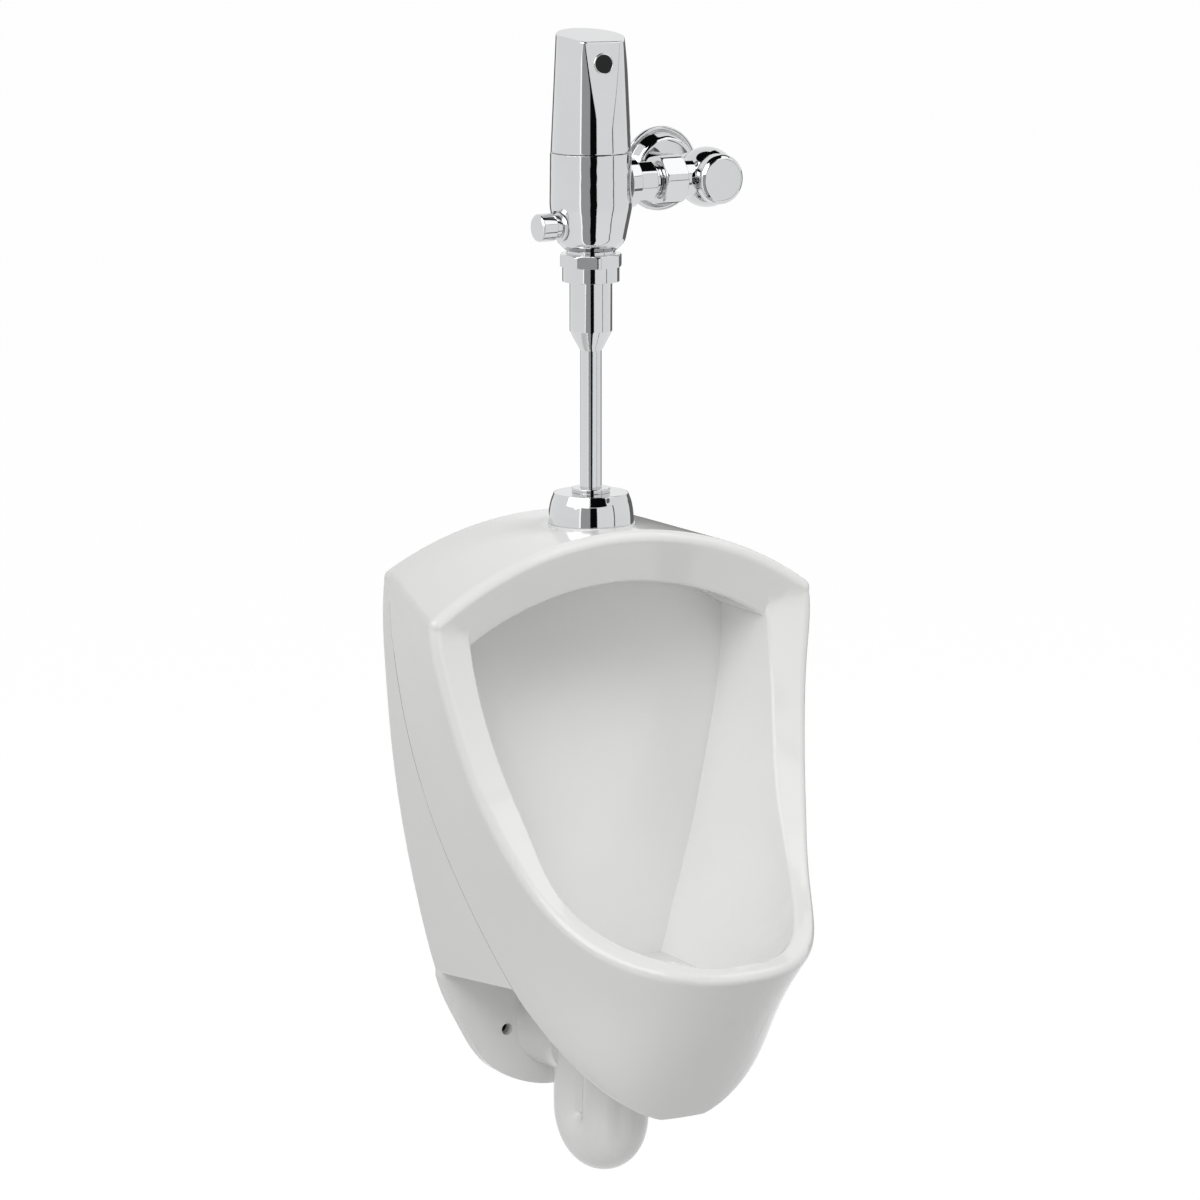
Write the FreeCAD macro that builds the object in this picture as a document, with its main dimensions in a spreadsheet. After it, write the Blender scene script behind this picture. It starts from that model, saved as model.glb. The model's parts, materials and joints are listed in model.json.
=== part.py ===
import FreeCAD, Part
import math
import os

import Sketcher
from FreeCAD import Placement, Rotation, Vector

# Wall-hung urinal with an exposed sensor flush valve.
# Frame: the wall is the plane Y = 0 with +Y into it, the front faces -Y, +Z is up,
# and the origin is the centre of the drain outlet where it meets the wall.

DOC = FreeCAD.newDocument("urinal")
SHEET = DOC.addObject("Spreadsheet::Sheet", "Sizes")

SIZES = {
    # China body
    "crown_height": 478.0,
    "crown_radius": 334.0,
    "wall_width": 334.6,
    "lip_reach": 358.0,
    "lip_height": 115.0,
    "keel_reach": 241.0,
    "keel_drop": 41.0,
    "ledge_height": 60.0,
    "rim_recess": 17.0,
    "rim_band": 48.0,
    "rim_reach": 148.0,
    "rim_rounding": 8.0,
    "mouth_rounding": 4.0,
    "china_wall": 12.0,
    "side_wall": 15.0,
    "ear_drop": 57.0,
    "ear_thickness": 12.0,
    "bolt_spacing": 95.25,
    "bolt_hole": 11.0,
    "trap_setback": 100.5,
    "trap_spacing": 52.0,
    "trap_diameter": 60.0,
    "trap_bore": 40.0,
    "trap_drop": 116.5,
    "trap_web": 46.0,
    "outlet_horn": 76.0,
    "outlet_bore": 50.0,
    "outlet_recess": 62.0,
    "outlet_recess_depth": 9.0,
    "sump_height": 30.0,
    "sump_diameter": 50.0,
    "strainer_seat": 3.0,
    "channel_front": 122.0,
    "channel_back": 52.0,
    "channel_width": 292.0,
    "wash_slot_width": 9.0,
    "wash_slot_depth": 5.0,
    "wash_slot_setback": 114.0,
    "wash_slot_pitch": 20.0,
    "spud_land": 79.0,
    "spud_hole": 33.0,
    "cut_overrun": 40.0,
    "crease_overlap": 1.0,
    # Fits
    "fit_clearance": 0.1,
    "slide_clearance": 0.3,
    # Wall hangers
    "hanger_spacing": 190.0,
    "hanger_width": 44.0,
    "hanger_height": 84.0,
    "hanger_thickness": 4.0,
    "hanger_tongue": 17.0,
    "hanger_hole": 7.0,
    "hanger_hole_pitch": 36.0,
    "rib_drop": 103.0,
    "rib_depth": 20.0,
    "rib_reach": 24.5,
    # Drain
    "strainer_thickness": 2.0,
    "strainer_hole": 5.0,
    "strainer_circle": 30.0,
    "strainer_clearance": 0.5,
    "outlet_gasket_bore": 52.0,
    # Spud and its cover
    "tube_setback": 83.0,
    "spud_diameter": 27.0,
    "spud_rise": 14.0,
    "spud_depth": 22.0,
    "spud_gasket_flange": 44.0,
    "spud_gasket_lip": 2.5,
    "locknut_flats": 40.0,
    "locknut_height": 5.5,
    "coupling_flats": 36.0,
    "coupling_base": 8.7,
    "coupling_height": 15.3,
    "slip_gasket_height": 5.0,
    "friction_ring_height": 1.5,
    "bell_base": 77.0,
    "bell_top": 65.0,
    "bell_height": 30.0,
    "bell_rounding": 5.0,
    "bell_wall": 1.4,
    "collar_diameter": 33.0,
    "collar_height": 3.5,
    # Flush tube with vacuum breaker
    "tube_diameter": 19.05,
    "tube_wall": 0.9,
    "tube_depth": 20.0,
    "breaker_diameter": 38.1,
    "breaker_wall": 1.2,
    "breaker_length": 47.5,
    "breaker_cone": 18.0,
    "breaker_flange": 43.0,
    "breaker_flange_height": 2.0,
    "cage_height": 30.0,
    "cage_wall": 3.0,
    "cage_drop": 4.0,
    "sleeve_wall": 1.5,
    "sleeve_height": 24.0,
    # Outlet nut of the valve
    "nut_base": 217.5,
    "nut_skirt": 51.0,
    "nut_skirt_height": 13.4,
    "nut_flats": 53.0,
    "nut_height": 25.1,
    "nut_lip": 3.5,
    "nut_rounding": 1.2,
    "outlet_washer_height": 2.5,
    # Valve body
    "spigot_diameter": 43.2,
    "spigot_bore": 30.0,
    "body_base": 245.5,
    "body_neck": 45.0,
    "body_shoulder": 61.0,
    "body_shoulder_rise": 8.0,
    "body_diameter": 73.6,
    "body_swell_rise": 38.5,
    "body_rim": 72.6,
    "body_height": 87.2,
    "body_shoulder_rounding": 12.0,
    "body_swell_rounding": 45.0,
    "chamber_diameter": 63.0,
    "chamber_floor": 30.5,
    "seat_height": 6.0,
    "seat_wall": 3.0,
    "inlet_boss": 45.0,
    "inlet_boss_reach": 41.0,
    "inlet_bore": 22.0,
    "inlet_thread": 28.0,
    "inlet_thread_depth": 7.0,
    # Supply line
    "supply_offset": 120.65,
    "supply_rise": 58.5,
    # Piston and relief valve
    "seal_thickness": 3.0,
    "piston_thickness": 6.0,
    "piston_guide": 27.0,
    "piston_guide_depth": 9.0,
    "piston_bore": 19.0,
    "relief_disc": 23.0,
    "relief_disc_height": 3.0,
    "relief_stem": 6.4,
    "relief_stem_length": 34.0,
    "relief_heel": 3.0,
    "relief_heel_length": 8.0,
    # Inner cap
    "cap_depth": 14.0,
    "cap_flange": 66.0,
    "cap_flange_height": 2.4,
    "cap_groove_height": 3.4,
    "cap_groove_depth": 2.6,
    "cap_port": 5.0,
    # Solenoid
    "solenoid_diameter": 20.0,
    "solenoid_height": 32.0,
    "plunger_diameter": 7.0,
    "plunger_length": 14.0,
    "plunger_bore_depth": 24.0,
    "solenoid_spring_wall": 0.8,
    # Cover
    "cover_seam": 0.4,
    "cover_base": 71.6,
    "cover_top": 59.6,
    "cover_height": 103.2,
    "cover_wall": 2.2,
    "cover_slope": 8.0,
    "cover_turn": -7.0,
    "facet_lean": 6.6,
    "facet_rise": 28.7,
    "side_facet_turn": 64.0,
    "left_facet_rise": 56.0,
    "right_facet_rise": 78.0,
    "lens_diameter": 16.5,
    "lens_thickness": 4.0,
    "lens_rise": 80.1,
    "module_width": 24.0,
    "module_depth": 7.0,
    "module_reach": 22.8,
    "module_height": 26.0,
    "board_width": 38.0,
    "board_thickness": 1.6,
    "board_height": 62.0,
    "board_reach": 15.0,
    "cell_diameter": 14.5,
    "cell_length": 50.5,
    "cell_pitch": 15.2,
    "holder_setback": 18.2,
    "holder_width": 32.6,
    "holder_depth": 15.6,
    "holder_height": 56.0,
    "holder_floor": 2.5,
    "cover_screw_diameter": 4.0,
    "cover_screw_length": 5.0,
    "cover_screw_rise": 6.0,
    # Override button
    "button_rise": 22.7,
    "button_collar": 27.6,
    "button_collar_reach": 33.8,
    "button_barrel": 20.4,
    "button_barrel_reach": 46.0,
    "button_thread": 16.0,
    "button_spring_floor": 37.0,
    "button_thread_reach": 24.0,
    "button_seat_reach": 31.0,
    "button_collar_band": 1.5,
    "button_cap_diameter": 24.6,
    "button_cap_reach": 55.6,
    "button_cap_wall": 2.0,
    "button_cap_height": 15.4,
    "button_rounding": 2.0,
    "button_stem": 6.0,
    "button_stem_gap": 0.8,
    "button_spring_bore": 15.0,
    "button_spring_wall": 1.2,
    "button_seal_height": 3.0,
    "button_seal_diameter": 11.0,
    # Tailpiece
    "tailpiece_collar": 36.0,
    "tailpiece_collar_length": 19.0,
    "tailpiece_flats": 34.4,
    "tailpiece_tube": 26.0,
    "tailpiece_bore": 20.0,
    "tailpiece_reach": 97.0,
    # Stop
    "stop_nut_base": 66.0,
    "stop_nut_length": 23.5,
    "stop_nut_flats": 42.0,
    "stop_nut_lip": 3.0,
    "stop_nut_rounding": 1.5,
    "stop_oring_wire": 2.6,
    "stop_thread": 34.0,
    "stop_neck": 36.0,
    "stop_sphere": 54.0,
    "stop_front_reach": 15.5,
    "stop_cap_gap": 2.0,
    "stop_cap_thread": 38.0,
    "stop_cap_thread_length": 9.0,
    "stop_hub": 38.0,
    "stop_hub_reach": 31.0,
    "stop_seat_setback": 9.0,
    "stop_seat_bore": 18.0,
    "stop_chamber": 30.0,
    "stop_travel": 6.0,
    "stop_washer_height": 2.5,
    "stop_washer_diameter": 25.0,
    "stop_disc_height": 6.0,
    "stop_disc_diameter": 26.0,
    "stop_stem_diameter": 10.0,
    "stop_stem_length": 21.4,
    "stop_slot_width": 1.6,
    "stop_slot_depth": 2.0,
    "bonnet_length": 12.0,
    "bonnet_flange": 34.0,
    "bonnet_flange_height": 2.0,
    "stem_oring_wire": 2.2,
    "stem_oring_depth": 3.0,
    "stop_cap_diameter": 45.0,
    "stop_cap_face": 38.0,
    "stop_cap_length": 11.5,
    "stop_cap_wall": 1.8,
    "stop_cap_bevel": 3.2,
    "stop_screw_diameter": 4.0,
    "stop_screw_length": 3.0,
    "stop_screw_inset": 8.5,
    # Supply pipe and wall flange
    "adapter_thread": 27.0,
    "adapter_thread_length": 14.0,
    "adapter_diameter": 24.8,
    "adapter_bore": 22.4,
    "adapter_stop_bore": 18.0,
    "adapter_socket": 40.0,
    "cover_tube_diameter": 28.6,
    "cover_tube_wall": 1.0,
    "flange_diameter": 77.0,
    "flange_depth": 15.0,
    "flange_brim": 3.0,
    "flange_dome": 58.0,
    "flange_wall": 1.5,
    "flange_rounding": 4.0,
}

for row, (alias, value) in enumerate(SIZES.items(), start=1):
    SHEET.set("A%d" % row, alias)
    SHEET.set("B%d" % row, repr(value))
    SHEET.setAlias("B%d" % row, alias)
DOC.recompute()


class Size:
    """A length with its value and the cell expression that it follows."""

    def __init__(self, value, text):
        self.value = value
        self.text = text

    @staticmethod
    def of(other):
        return other if isinstance(other, Size) else Size(float(other), repr(float(other)))

    def _join(self, other, sign, value):
        return Size(value, "(%s %s %s)" % (self.text, sign, other.text))

    def __add__(self, other):
        other = Size.of(other)
        return self._join(other, "+", self.value + other.value)

    def __sub__(self, other):
        other = Size.of(other)
        return self._join(other, "-", self.value - other.value)

    def __mul__(self, other):
        other = Size.of(other)
        return self._join(other, "*", self.value * other.value)

    def __truediv__(self, other):
        other = Size.of(other)
        return self._join(other, "/", self.value / other.value)

    def __neg__(self):
        return Size(-self.value, "(0 - %s)" % self.text)


class Names:
    """The sheet's sizes by name."""


d = Names()
for alias, value in SIZES.items():
    setattr(d, alias, Size(value, "Sizes." + alias))
v = Names()
for alias, value in SIZES.items():
    setattr(v, alias, value)
ZERO = Size(0.0, "0")

UP = Rotation()
RIGHT = Rotation(Vector(0, 0, 1), Vector(1, 0, 0))
LEFT = Rotation(Vector(0, 0, 1), Vector(-1, 0, 0))
FRONT = Rotation(Vector(1, 0, 0), 90)
BACK = Rotation(Vector(1, 0, 0), -90)
# Half a side's turn, to face a nut's corner or flat to the front.
HEX_HALF_TURN = Rotation(Vector(0, 0, 1), 30)
OCTAGON_HALF_TURN = Rotation(Vector(0, 0, 1), 22.5)

PARTS = {}


def place(thing, base, turn=UP):
    """Stand an object at a point written in sizes."""
    thing.Placement = Placement(Vector(*[c.value for c in base]), turn)
    for axis, length in zip("xyz", base):
        if length is not ZERO:
            thing.setExpression("Placement.Base." + axis, length.text)
    return thing


def pin_point(sketch, geometry, position, x, y):
    """Hold one sketch point at sizes from the sketch's origin."""
    for kind, size, line in (("DistanceX", x, -2), ("DistanceY", y, -1)):
        if size is ZERO:
            sketch.addConstraint(Sketcher.Constraint("PointOnObject", geometry, position, line))
            continue
        index = sketch.addConstraint(
            Sketcher.Constraint(kind, -1, 1, geometry, position, size.value))
        sketch.setExpression("Constraints[%d]" % index, size.text)


def draw_outline(sketch, outline):
    """Draw a closed outline, counter-clockwise, of (x, y) or (x, y, rounding) corners."""
    corners = [tuple(c) + (None,) * (3 - len(c)) for c in outline]
    count = len(corners)
    points = [Vector(c[0].value, c[1].value, 0) for c in corners]
    entry, leave, arcs = [], [], []
    for i, corner in enumerate(corners):
        here = points[i]
        before = (points[i - 1] - here).normalize()
        after = (points[(i + 1) % count] - here).normalize()
        if corner[2] is None:
            entry.append(here)
            leave.append(here)
            arcs.append(None)
            continue
        half = before.getAngle(after) / 2
        run = corner[2].value / math.tan(half)
        entry.append(here + before * run)
        leave.append(here + after * run)
        centre = here + (before + after).normalize() * (corner[2].value / math.sin(half))
        arcs.append((centre, before.cross(after).z < 0))
    lines = []
    for i in range(count):
        lines.append(sketch.addGeometry(
            Part.LineSegment(leave[i], entry[(i + 1) % count]), False))
    for i, corner in enumerate(corners):
        came, goes = lines[i - 1], lines[i]
        if arcs[i] is None:
            sketch.addConstraint(Sketcher.Constraint("Coincident", came, 2, goes, 1))
            pin_point(sketch, goes, 1, corner[0], corner[1])
            continue
        centre, convex = arcs[i]
        first, last = (entry[i], leave[i]) if convex else (leave[i], entry[i])
        start = math.atan2(first.y - centre.y, first.x - centre.x)
        end = math.atan2(last.y - centre.y, last.x - centre.x)
        circle = Part.Circle(centre, Vector(0, 0, 1), corner[2].value)
        arc = sketch.addGeometry(Part.ArcOfCircle(circle, start, end), False)
        mark = sketch.addGeometry(Part.Point(points[i]), True)
        pin_point(sketch, mark, 1, corner[0], corner[1])
        sketch.addConstraint(Sketcher.Constraint("PointOnObject", mark, 1, came))
        sketch.addConstraint(Sketcher.Constraint("PointOnObject", mark, 1, goes))
        near, far = (1, 2) if convex else (2, 1)
        sketch.addConstraint(Sketcher.Constraint("Tangent", came, 2, arc, near))
        sketch.addConstraint(Sketcher.Constraint("Tangent", arc, far, goes, 1))
        index = sketch.addConstraint(Sketcher.Constraint("Radius", arc, corner[2].value))
        sketch.setExpression("Constraints[%d]" % index, corner[2].text)


def new_sketch(body, plane, name):
    """A sketch on one of a body's own origin planes."""
    sketch = body.newObject("Sketcher::SketchObject", name)
    support = [f for f in body.Origin.OriginFeatures if f.Role == plane][0]
    sketch.AttachmentSupport = [(support, "")]
    sketch.MapMode = "FlatFace"
    return sketch


def turned(name, outline, base, turn=UP):
    """A body of revolution: an outline of (radius, height) corners about its own axis."""
    body = DOC.addObject("PartDesign::Body", name)
    sketch = new_sketch(body, "XZ_Plane", name + "_outline")
    draw_outline(sketch, outline)
    spin = body.newObject("PartDesign::Revolution", name + "_turned")
    spin.Profile = sketch
    spin.ReferenceAxis = (sketch, ["V_Axis"])
    spin.Angle = 360
    sketch.Visibility = False
    return place(body, base, turn)


def ring(name, outer, inner, height, base, turn=UP):
    """A plain turned ring."""
    return turned(name, [(inner, ZERO), (outer, ZERO), (outer, height), (inner, height)], base, turn)


def rod(name, radius, height, base, turn=UP):
    """A cylinder written in sizes."""
    thing = DOC.addObject("Part::Cylinder", name)
    thing.setExpression("Radius", radius.text)
    thing.setExpression("Height", height.text)
    return place(thing, base, turn)


def block(name, width, depth, height, base, turn=UP):
    """A box written in sizes, from its lowest corner."""
    thing = DOC.addObject("Part::Box", name)
    thing.setExpression("Length", width.text)
    thing.setExpression("Width", depth.text)
    thing.setExpression("Height", height.text)
    return place(thing, base, turn)


def prism(name, sides, flats, height, base, turn=UP):
    """A prism of equal sides by its width across the flats."""
    thing = DOC.addObject("Part::Prism", name)
    thing.Polygon = sides
    corner_share = 0.5 / math.cos(math.pi / sides)
    thing.setExpression("Circumradius", (flats * corner_share).text)
    thing.setExpression("Height", height.text)
    return place(thing, base, turn)


def fuse(name, *shapes):
    thing = DOC.addObject("Part::MultiFuse", name)
    thing.Shapes = list(shapes)
    return thing


def cut(name, base, *tools):
    thing = DOC.addObject("Part::Cut", name)
    thing.Base = base
    thing.Tool = tools[0] if len(tools) == 1 else fuse(name + "_tools", *tools)
    return thing


def drilled(name, base, *tools):
    """Cut tools away one after another, leaving the faces as they were split."""
    for number, tool in enumerate(tools):
        base = cut("%s_%d" % (name, number), base, tool)
        base.Refine = False
    return base


def common(name, *shapes):
    thing = DOC.addObject("Part::MultiCommon", name)
    thing.Shapes = list(shapes)
    return thing


def keep(node, thing):
    """Name a finished piece."""
    thing.Label = node
    PARTS[node] = thing
    return thing


# China body
#
# The outer form is lofted through level sections. Each row gives a level's height as a share of
# the rise from keel to crown, then its half width at the wall as a share of half the wall width,
# the depth of the side crease as a share of the nose's depth there, the outward flare of the hull
# per depth, and the fullness of the hull's round nose (2 is an ellipse). The lip has its own share.
LIP_SHARE = 0.30058
HULL_LEVEL_SHARES = [
    (1.046, 1.000, 0.0046, 0.2800, 2.5),
    (0.877, 1.000, 0.0172, 0.2480, 2.5),
    (0.748, 0.990, 0.0432, 0.2130, 2.5),
    (0.601, 0.951, 0.0884, 0.1430, 2.5),
    (0.449, 0.879, 0.1683, 0.0660, 2.5),
    (0.324, 0.796, 0.2915, 0.0080, 2.4),
    (0.2254, 0.7155, 0.4472, 0.0000, 2.1),
    (0.1503, 0.6276, 0.6243, 0.0000, 2.0),
    (0.0809, 0.4782, 0.8110, 0.0000, 2.0),
    (0.0347, 0.2989, 0.9332, 0.0000, 2.0),
    (0.0116, 0.1435, 0.9878, 0.0000, 2.0),
]
# The front edge in side view, from above the crown to beyond the lip: height, depth as a share
# of the way from the rim's reach to the lip's, half widths just outside and just inside the rim
# band as shares of the upper corner's half width, and how much of the rim's recess the inner line
# has. The corner has its own share of the height.
RIM_CORNER_SHARE = 0.8728
RIM_SHARES = [
    (1.114, -0.0191, 1.0661, 0.8028, 1.000),
    (0.960, -0.0072, 1.0451, 0.7828, 1.000),
    (0.877, 0.0024, 1.0241, 0.7677, 1.000),
    (0.750, 0.0428, 0.9821, 0.7326, 0.706),
    (0.601, 0.1405, 0.9108, 0.6522, 0.265),
    (0.493, 0.2714, 0.8394, 0.5921, 0.035),
    (0.420, 0.4047, 0.7777, 0.5620, 0.000),
    (0.358, 0.6142, 0.7777, 0.5620, 0.000),
    (0.3256, 0.8285, 0.7777, 0.5620, 0.000),
    (0.297, 1.2000, 0.7777, 0.5620, 0.000),
]
# The bowl's inside: height, half widths at the back and towards the front as shares of half the
# wall width, back and nose depths as shares of the lip's reach, and fullness.
BOWL_LEVEL_SHARES = [
    (1.114, 0.9444, 0.9922, 0.1620, 1.7318, 3.0),
    (0.823, 0.9086, 0.9922, 0.1676, 1.5642, 3.0),
    (0.698, 0.8757, 0.9325, 0.1760, 1.4525, 3.0),
    (0.601, 0.8129, 0.8966, 0.1844, 1.3408, 2.9),
    (0.497, 0.7292, 0.8129, 0.1955, 1.1732, 2.8),
    (0.420, 0.6575, 0.7053, 0.2067, 1.0391, 2.6),
    (0.343, 0.5678, 0.5678, 0.2207, 0.9637, 2.4),
    (0.2755, 0.4782, 0.4782, 0.2402, 0.8939, 2.2),
    (0.2274, 0.3945, 0.3945, 0.2682, 0.8268, 2.0),
]
# The sump under the bowl, inside, above the drain: height, half width, back and front depths,
# shares as above.
SUMP_LEVEL_SHARES = [
    (0.2330, 0.3850, 0.2620, 0.8050),
    (0.1930, 0.3000, 0.2700, 0.6400),
    (0.1590, 0.2000, 0.2780, 0.5000),
]
# The lower plate in front view: half width as a share of half the wall width, drop as a share
# of the plate's drop below the outlet centre.
EAR_SHARES = [
    (0.6920, -1.0000),
    (0.6340, -0.5600),
    (0.5714, -0.2140),
    (0.5033, 0.1440),
    (0.4094, 0.5120),
    (0.3210, 0.7120),
    (0.2265, 0.8500),
    (0.0992, 0.9650),
    (0.0000, 1.0000),
]
NOSE_POINTS = 6
WASH_SLOTS = 13
# Where edges lie, for rounding: how far up the crown's arc the front corners are, how far ahead
# the rim starts, how wide it is against the wall, and how near the lip its nose comes.
CORNER_SHARE = 0.84
AHEAD_SHARE = 0.85
OUTER_SHARE = 1.02
NOSE_SHARE = 0.985


def share_at(table, height):
    """The second column of a table of falling heights, read between its rows."""
    for upper, lower in zip(table, table[1:]):
        if lower[0] <= height <= upper[0]:
            part = (height - lower[0]) / (upper[0] - lower[0])
            return lower[1] + part * (upper[1] - lower[1])
    return table[-1][1]


def interpolated(points, parameters=None):
    curve = Part.BSplineCurve()
    if parameters is None:
        curve.interpolate(points)
    else:
        curve.interpolate(Points=points, Parameters=parameters)
    return curve.toShape()


def joined(edge, *points):
    """A closed wire of one edge and the straight lines through the given points."""
    lines = [Part.LineSegment(a, b).toShape() for a, b in zip(points, points[1:])]
    return Part.Wire([edge] + lines)


def nose_curve(z, half, back, nose, flare, fullness):
    """Half a rounded oblong in plan, from the left side round the nose to the right side."""
    run = back - nose
    side = []
    for i in range(NOSE_POINTS + 1):
        turn = math.pi / 2 * i / NOSE_POINTS
        depth = run * math.sin(turn) ** (2 / fullness)
        wide = (half + flare * depth) * max(math.cos(turn), 0.0) ** (2 / fullness)
        side.append((wide, back - depth))
    points = [Vector(-x, y, z) for x, y in side]
    points += [Vector(x, y, z) for x, y in reversed(side[:-1])]
    steps = len(points) - 1
    return interpolated(points, [i / steps for i in range(steps + 1)])


def china_shape():
    half = v.wall_width / 2
    reach = v.lip_reach
    rise = v.crown_height + v.keel_drop
    over = v.cut_overrun
    axis_z = v.crown_height - v.crown_radius
    wide = half * 2
    far = reach * 2.5

    def level(share):
        """A height by its share of the rise, from the keel to the lip and on to the crown."""
        if share < LIP_SHARE:
            return share / LIP_SHARE * (v.lip_height + v.keel_drop) - v.keel_drop
        above = (share - LIP_SHARE) / (1 - LIP_SHARE)
        return v.lip_height + above * (v.crown_height - v.lip_height)

    lean = (v.lip_reach - v.keel_reach) / (v.lip_height + v.keel_drop)

    def nose_at(z):
        return -v.lip_reach - lean * (z - v.lip_height)

    sections = []
    for height, width, crease, flare, fullness in HULL_LEVEL_SHARES:
        z = level(height)
        x, y = width * half, crease * nose_at(z)
        curve = nose_curve(z, x, y, nose_at(z), flare, fullness)
        sections.append(joined(curve, Vector(x, y, z), Vector(x, 0, z), Vector(-x, 0, z),
                               Vector(-x, y, z)))
    form = Part.makeLoft(sections, True, False)

    # Arched crown, level from wall to front.
    below = Part.makeBox(2 * wide, far, rise, Vector(-wide, over - far, axis_z - rise))
    crown = Part.makeCylinder(v.crown_radius, far, Vector(0, over, axis_z), Vector(0, -1, 0))
    form = form.common(crown.fuse(below))

    # The corner where the crown's arc meets the side, in the plane of the rim.
    corner = Vector(0, -v.rim_reach, v.crown_height)
    for wire in form.slice(Vector(0, -1, 0), v.rim_reach):
        for vertex in wire.Vertexes:
            off_arc = math.hypot(vertex.X, vertex.Z - axis_z) - v.crown_radius
            if abs(off_arc) < v.fit_clearance and vertex.X > corner.x:
                corner = vertex.Point

    def rim_level(share):
        """A height on the rim, from the lip to the corner and above."""
        above = (share - LIP_SHARE) / (RIM_CORNER_SHARE - LIP_SHARE)
        return v.lip_height + above * (corner.z - v.lip_height)

    # Underside: a rising ledge behind the crease, then the keel line.
    keel = [r for r in HULL_LEVEL_SHARES if r[0] < 0.23]
    line = []
    for height, _, crease, _, _ in keel:
        z = level(height)
        line.append(Vector(-wide, crease * nose_at(z) - v.crease_overlap, z))
    start, end = line[0], line[-1]
    base_z = v.ledge_height
    form = form.cut(Part.Face(joined(
        interpolated(line), end, Vector(-wide, end.y, -rise), Vector(-wide, over, -rise),
        Vector(-wide, over, base_z), Vector(-wide, 0, base_z), start
    )).extrude(Vector(2 * wide, 0, 0)))

    # Mouth: the front cut with slanted bands, and the bowl, both under the crown's band.
    def front_wire(column, recessed, sign):
        points = []
        for row in RIM_SHARES:
            x = wide if column is None else row[column] * corner.x
            y = -v.rim_reach - row[1] * (v.lip_reach - v.rim_reach)
            if recessed:
                y += row[4] * v.rim_recess
            points.append(Vector(sign * x, y, rim_level(row[0])))
        first, last = points[0], points[-1]
        return joined(interpolated(points), last, Vector(last.x, -far, last.z),
                      Vector(first.x, -far, first.z), first)

    mouth = Part.makeLoft([
        front_wire(None, False, -1), front_wire(2, False, -1), front_wire(3, True, -1),
        front_wire(3, True, 1), front_wire(2, False, 1), front_wire(None, False, 1)], True, True)
    levels = []
    for height, back_half, front_half, back, nose, fullness in BOWL_LEVEL_SHARES:
        z = level(height)
        x = back_half * half
        flare = (front_half - back_half) * half / ((nose - back) * reach)
        curve = nose_curve(z, x, -back * reach, -nose * reach, flare, fullness)
        levels.append(joined(curve, Vector(x, -back * reach, z), Vector(-x, -back * reach, z)))
    bowl = Part.makeLoft(levels, True, False)
    inner = v.crown_radius - v.rim_band
    slant = v.rim_band / v.rim_recess
    depth = v.rim_recess * 4
    near = v.rim_reach - v.rim_recess
    limit = Part.makeCylinder(inner, far, Vector(0, 0, axis_z), Vector(0, -1, 0)).fuse([
        Part.makeCone(inner, inner + slant * depth, depth, Vector(0, -near, axis_z),
                      Vector(0, -1, 0)),
        Part.makeCylinder(inner + slant * depth, far, Vector(0, -near - depth, axis_z),
                          Vector(0, -1, 0)),
        Part.makeBox(4 * wide, 2 * far, rise, Vector(-2 * wide, -2 * far, axis_z - rise))])
    form = form.cut(mouth.fuse(bowl).common(limit).removeSplitter()).removeSplitter()
    form = form.Solids[0]

    # Rounded edges: the rim and crown first, then the mouth's inner edges.
    corner_z = axis_z + v.crown_radius * CORNER_SHARE

    def mouth_edges(solid):
        rim, mouth_sides, mouth_top = [], [], []
        for edge in solid.Edges:
            b = edge.BoundBox
            side = max(abs(b.XMin), abs(b.XMax))
            ahead = b.YMax < -v.rim_reach * AHEAD_SHARE
            above_lip = b.ZMin > v.lip_height - v.rim_recess
            low = b.ZMax < corner_z
            mitre = b.ZMin > corner_z - v.rim_band and b.XMax - b.XMin > v.rim_recess
            if ahead and above_lip and low and not mitre and (
                    side > half * OUTER_SHARE or b.YMin < -reach * NOSE_SHARE):
                rim.append(edge)
            elif ahead and b.XMax - b.XMin > wide and b.ZMax > v.crown_height - v.rim_recess:
                rim.append(edge)
            elif (b.YMax > -v.rim_recess and b.XMax - b.XMin < v.rim_band
                  and b.ZMin > corner_z - v.rim_recess):
                rim.append(edge)
            elif ahead and above_lip and low and not mitre and edge.Length > v.rim_band:
                mouth_sides.append(edge)
            elif ahead and edge.Length > half and b.ZMin > corner_z - v.rim_band:
                mouth_top.append(edge)
        return rim, mouth_sides, mouth_top

    form = form.makeFillet(v.rim_rounding, mouth_edges(form)[0])
    form = form.makeFillet(v.mouth_rounding, mouth_edges(form)[1])
    form = form.makeFillet(v.mouth_rounding, mouth_edges(form)[2])

    # Lower plate with its two bolt holes.
    outline = []
    for width, drop in EAR_SHARES:
        outline.append(Vector(-width * half, 0, -drop * v.ear_drop))
    outline += [Vector(-p.x, 0, p.z) for p in reversed(outline[:-1])]
    left, right = outline[0], outline[-1]
    top_z = v.ledge_height + v.china_wall
    plate = Part.Face(joined(interpolated(outline), right, Vector(right.x, 0, top_z),
                             Vector(left.x, 0, top_z), left))
    plate = plate.extrude(Vector(0, -v.ear_thickness, 0))

    # Sump and trap: two legs, a return bend, a web, and the outlet horn at the wall.
    drain_y = -v.trap_setback - v.trap_spacing / 2

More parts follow.
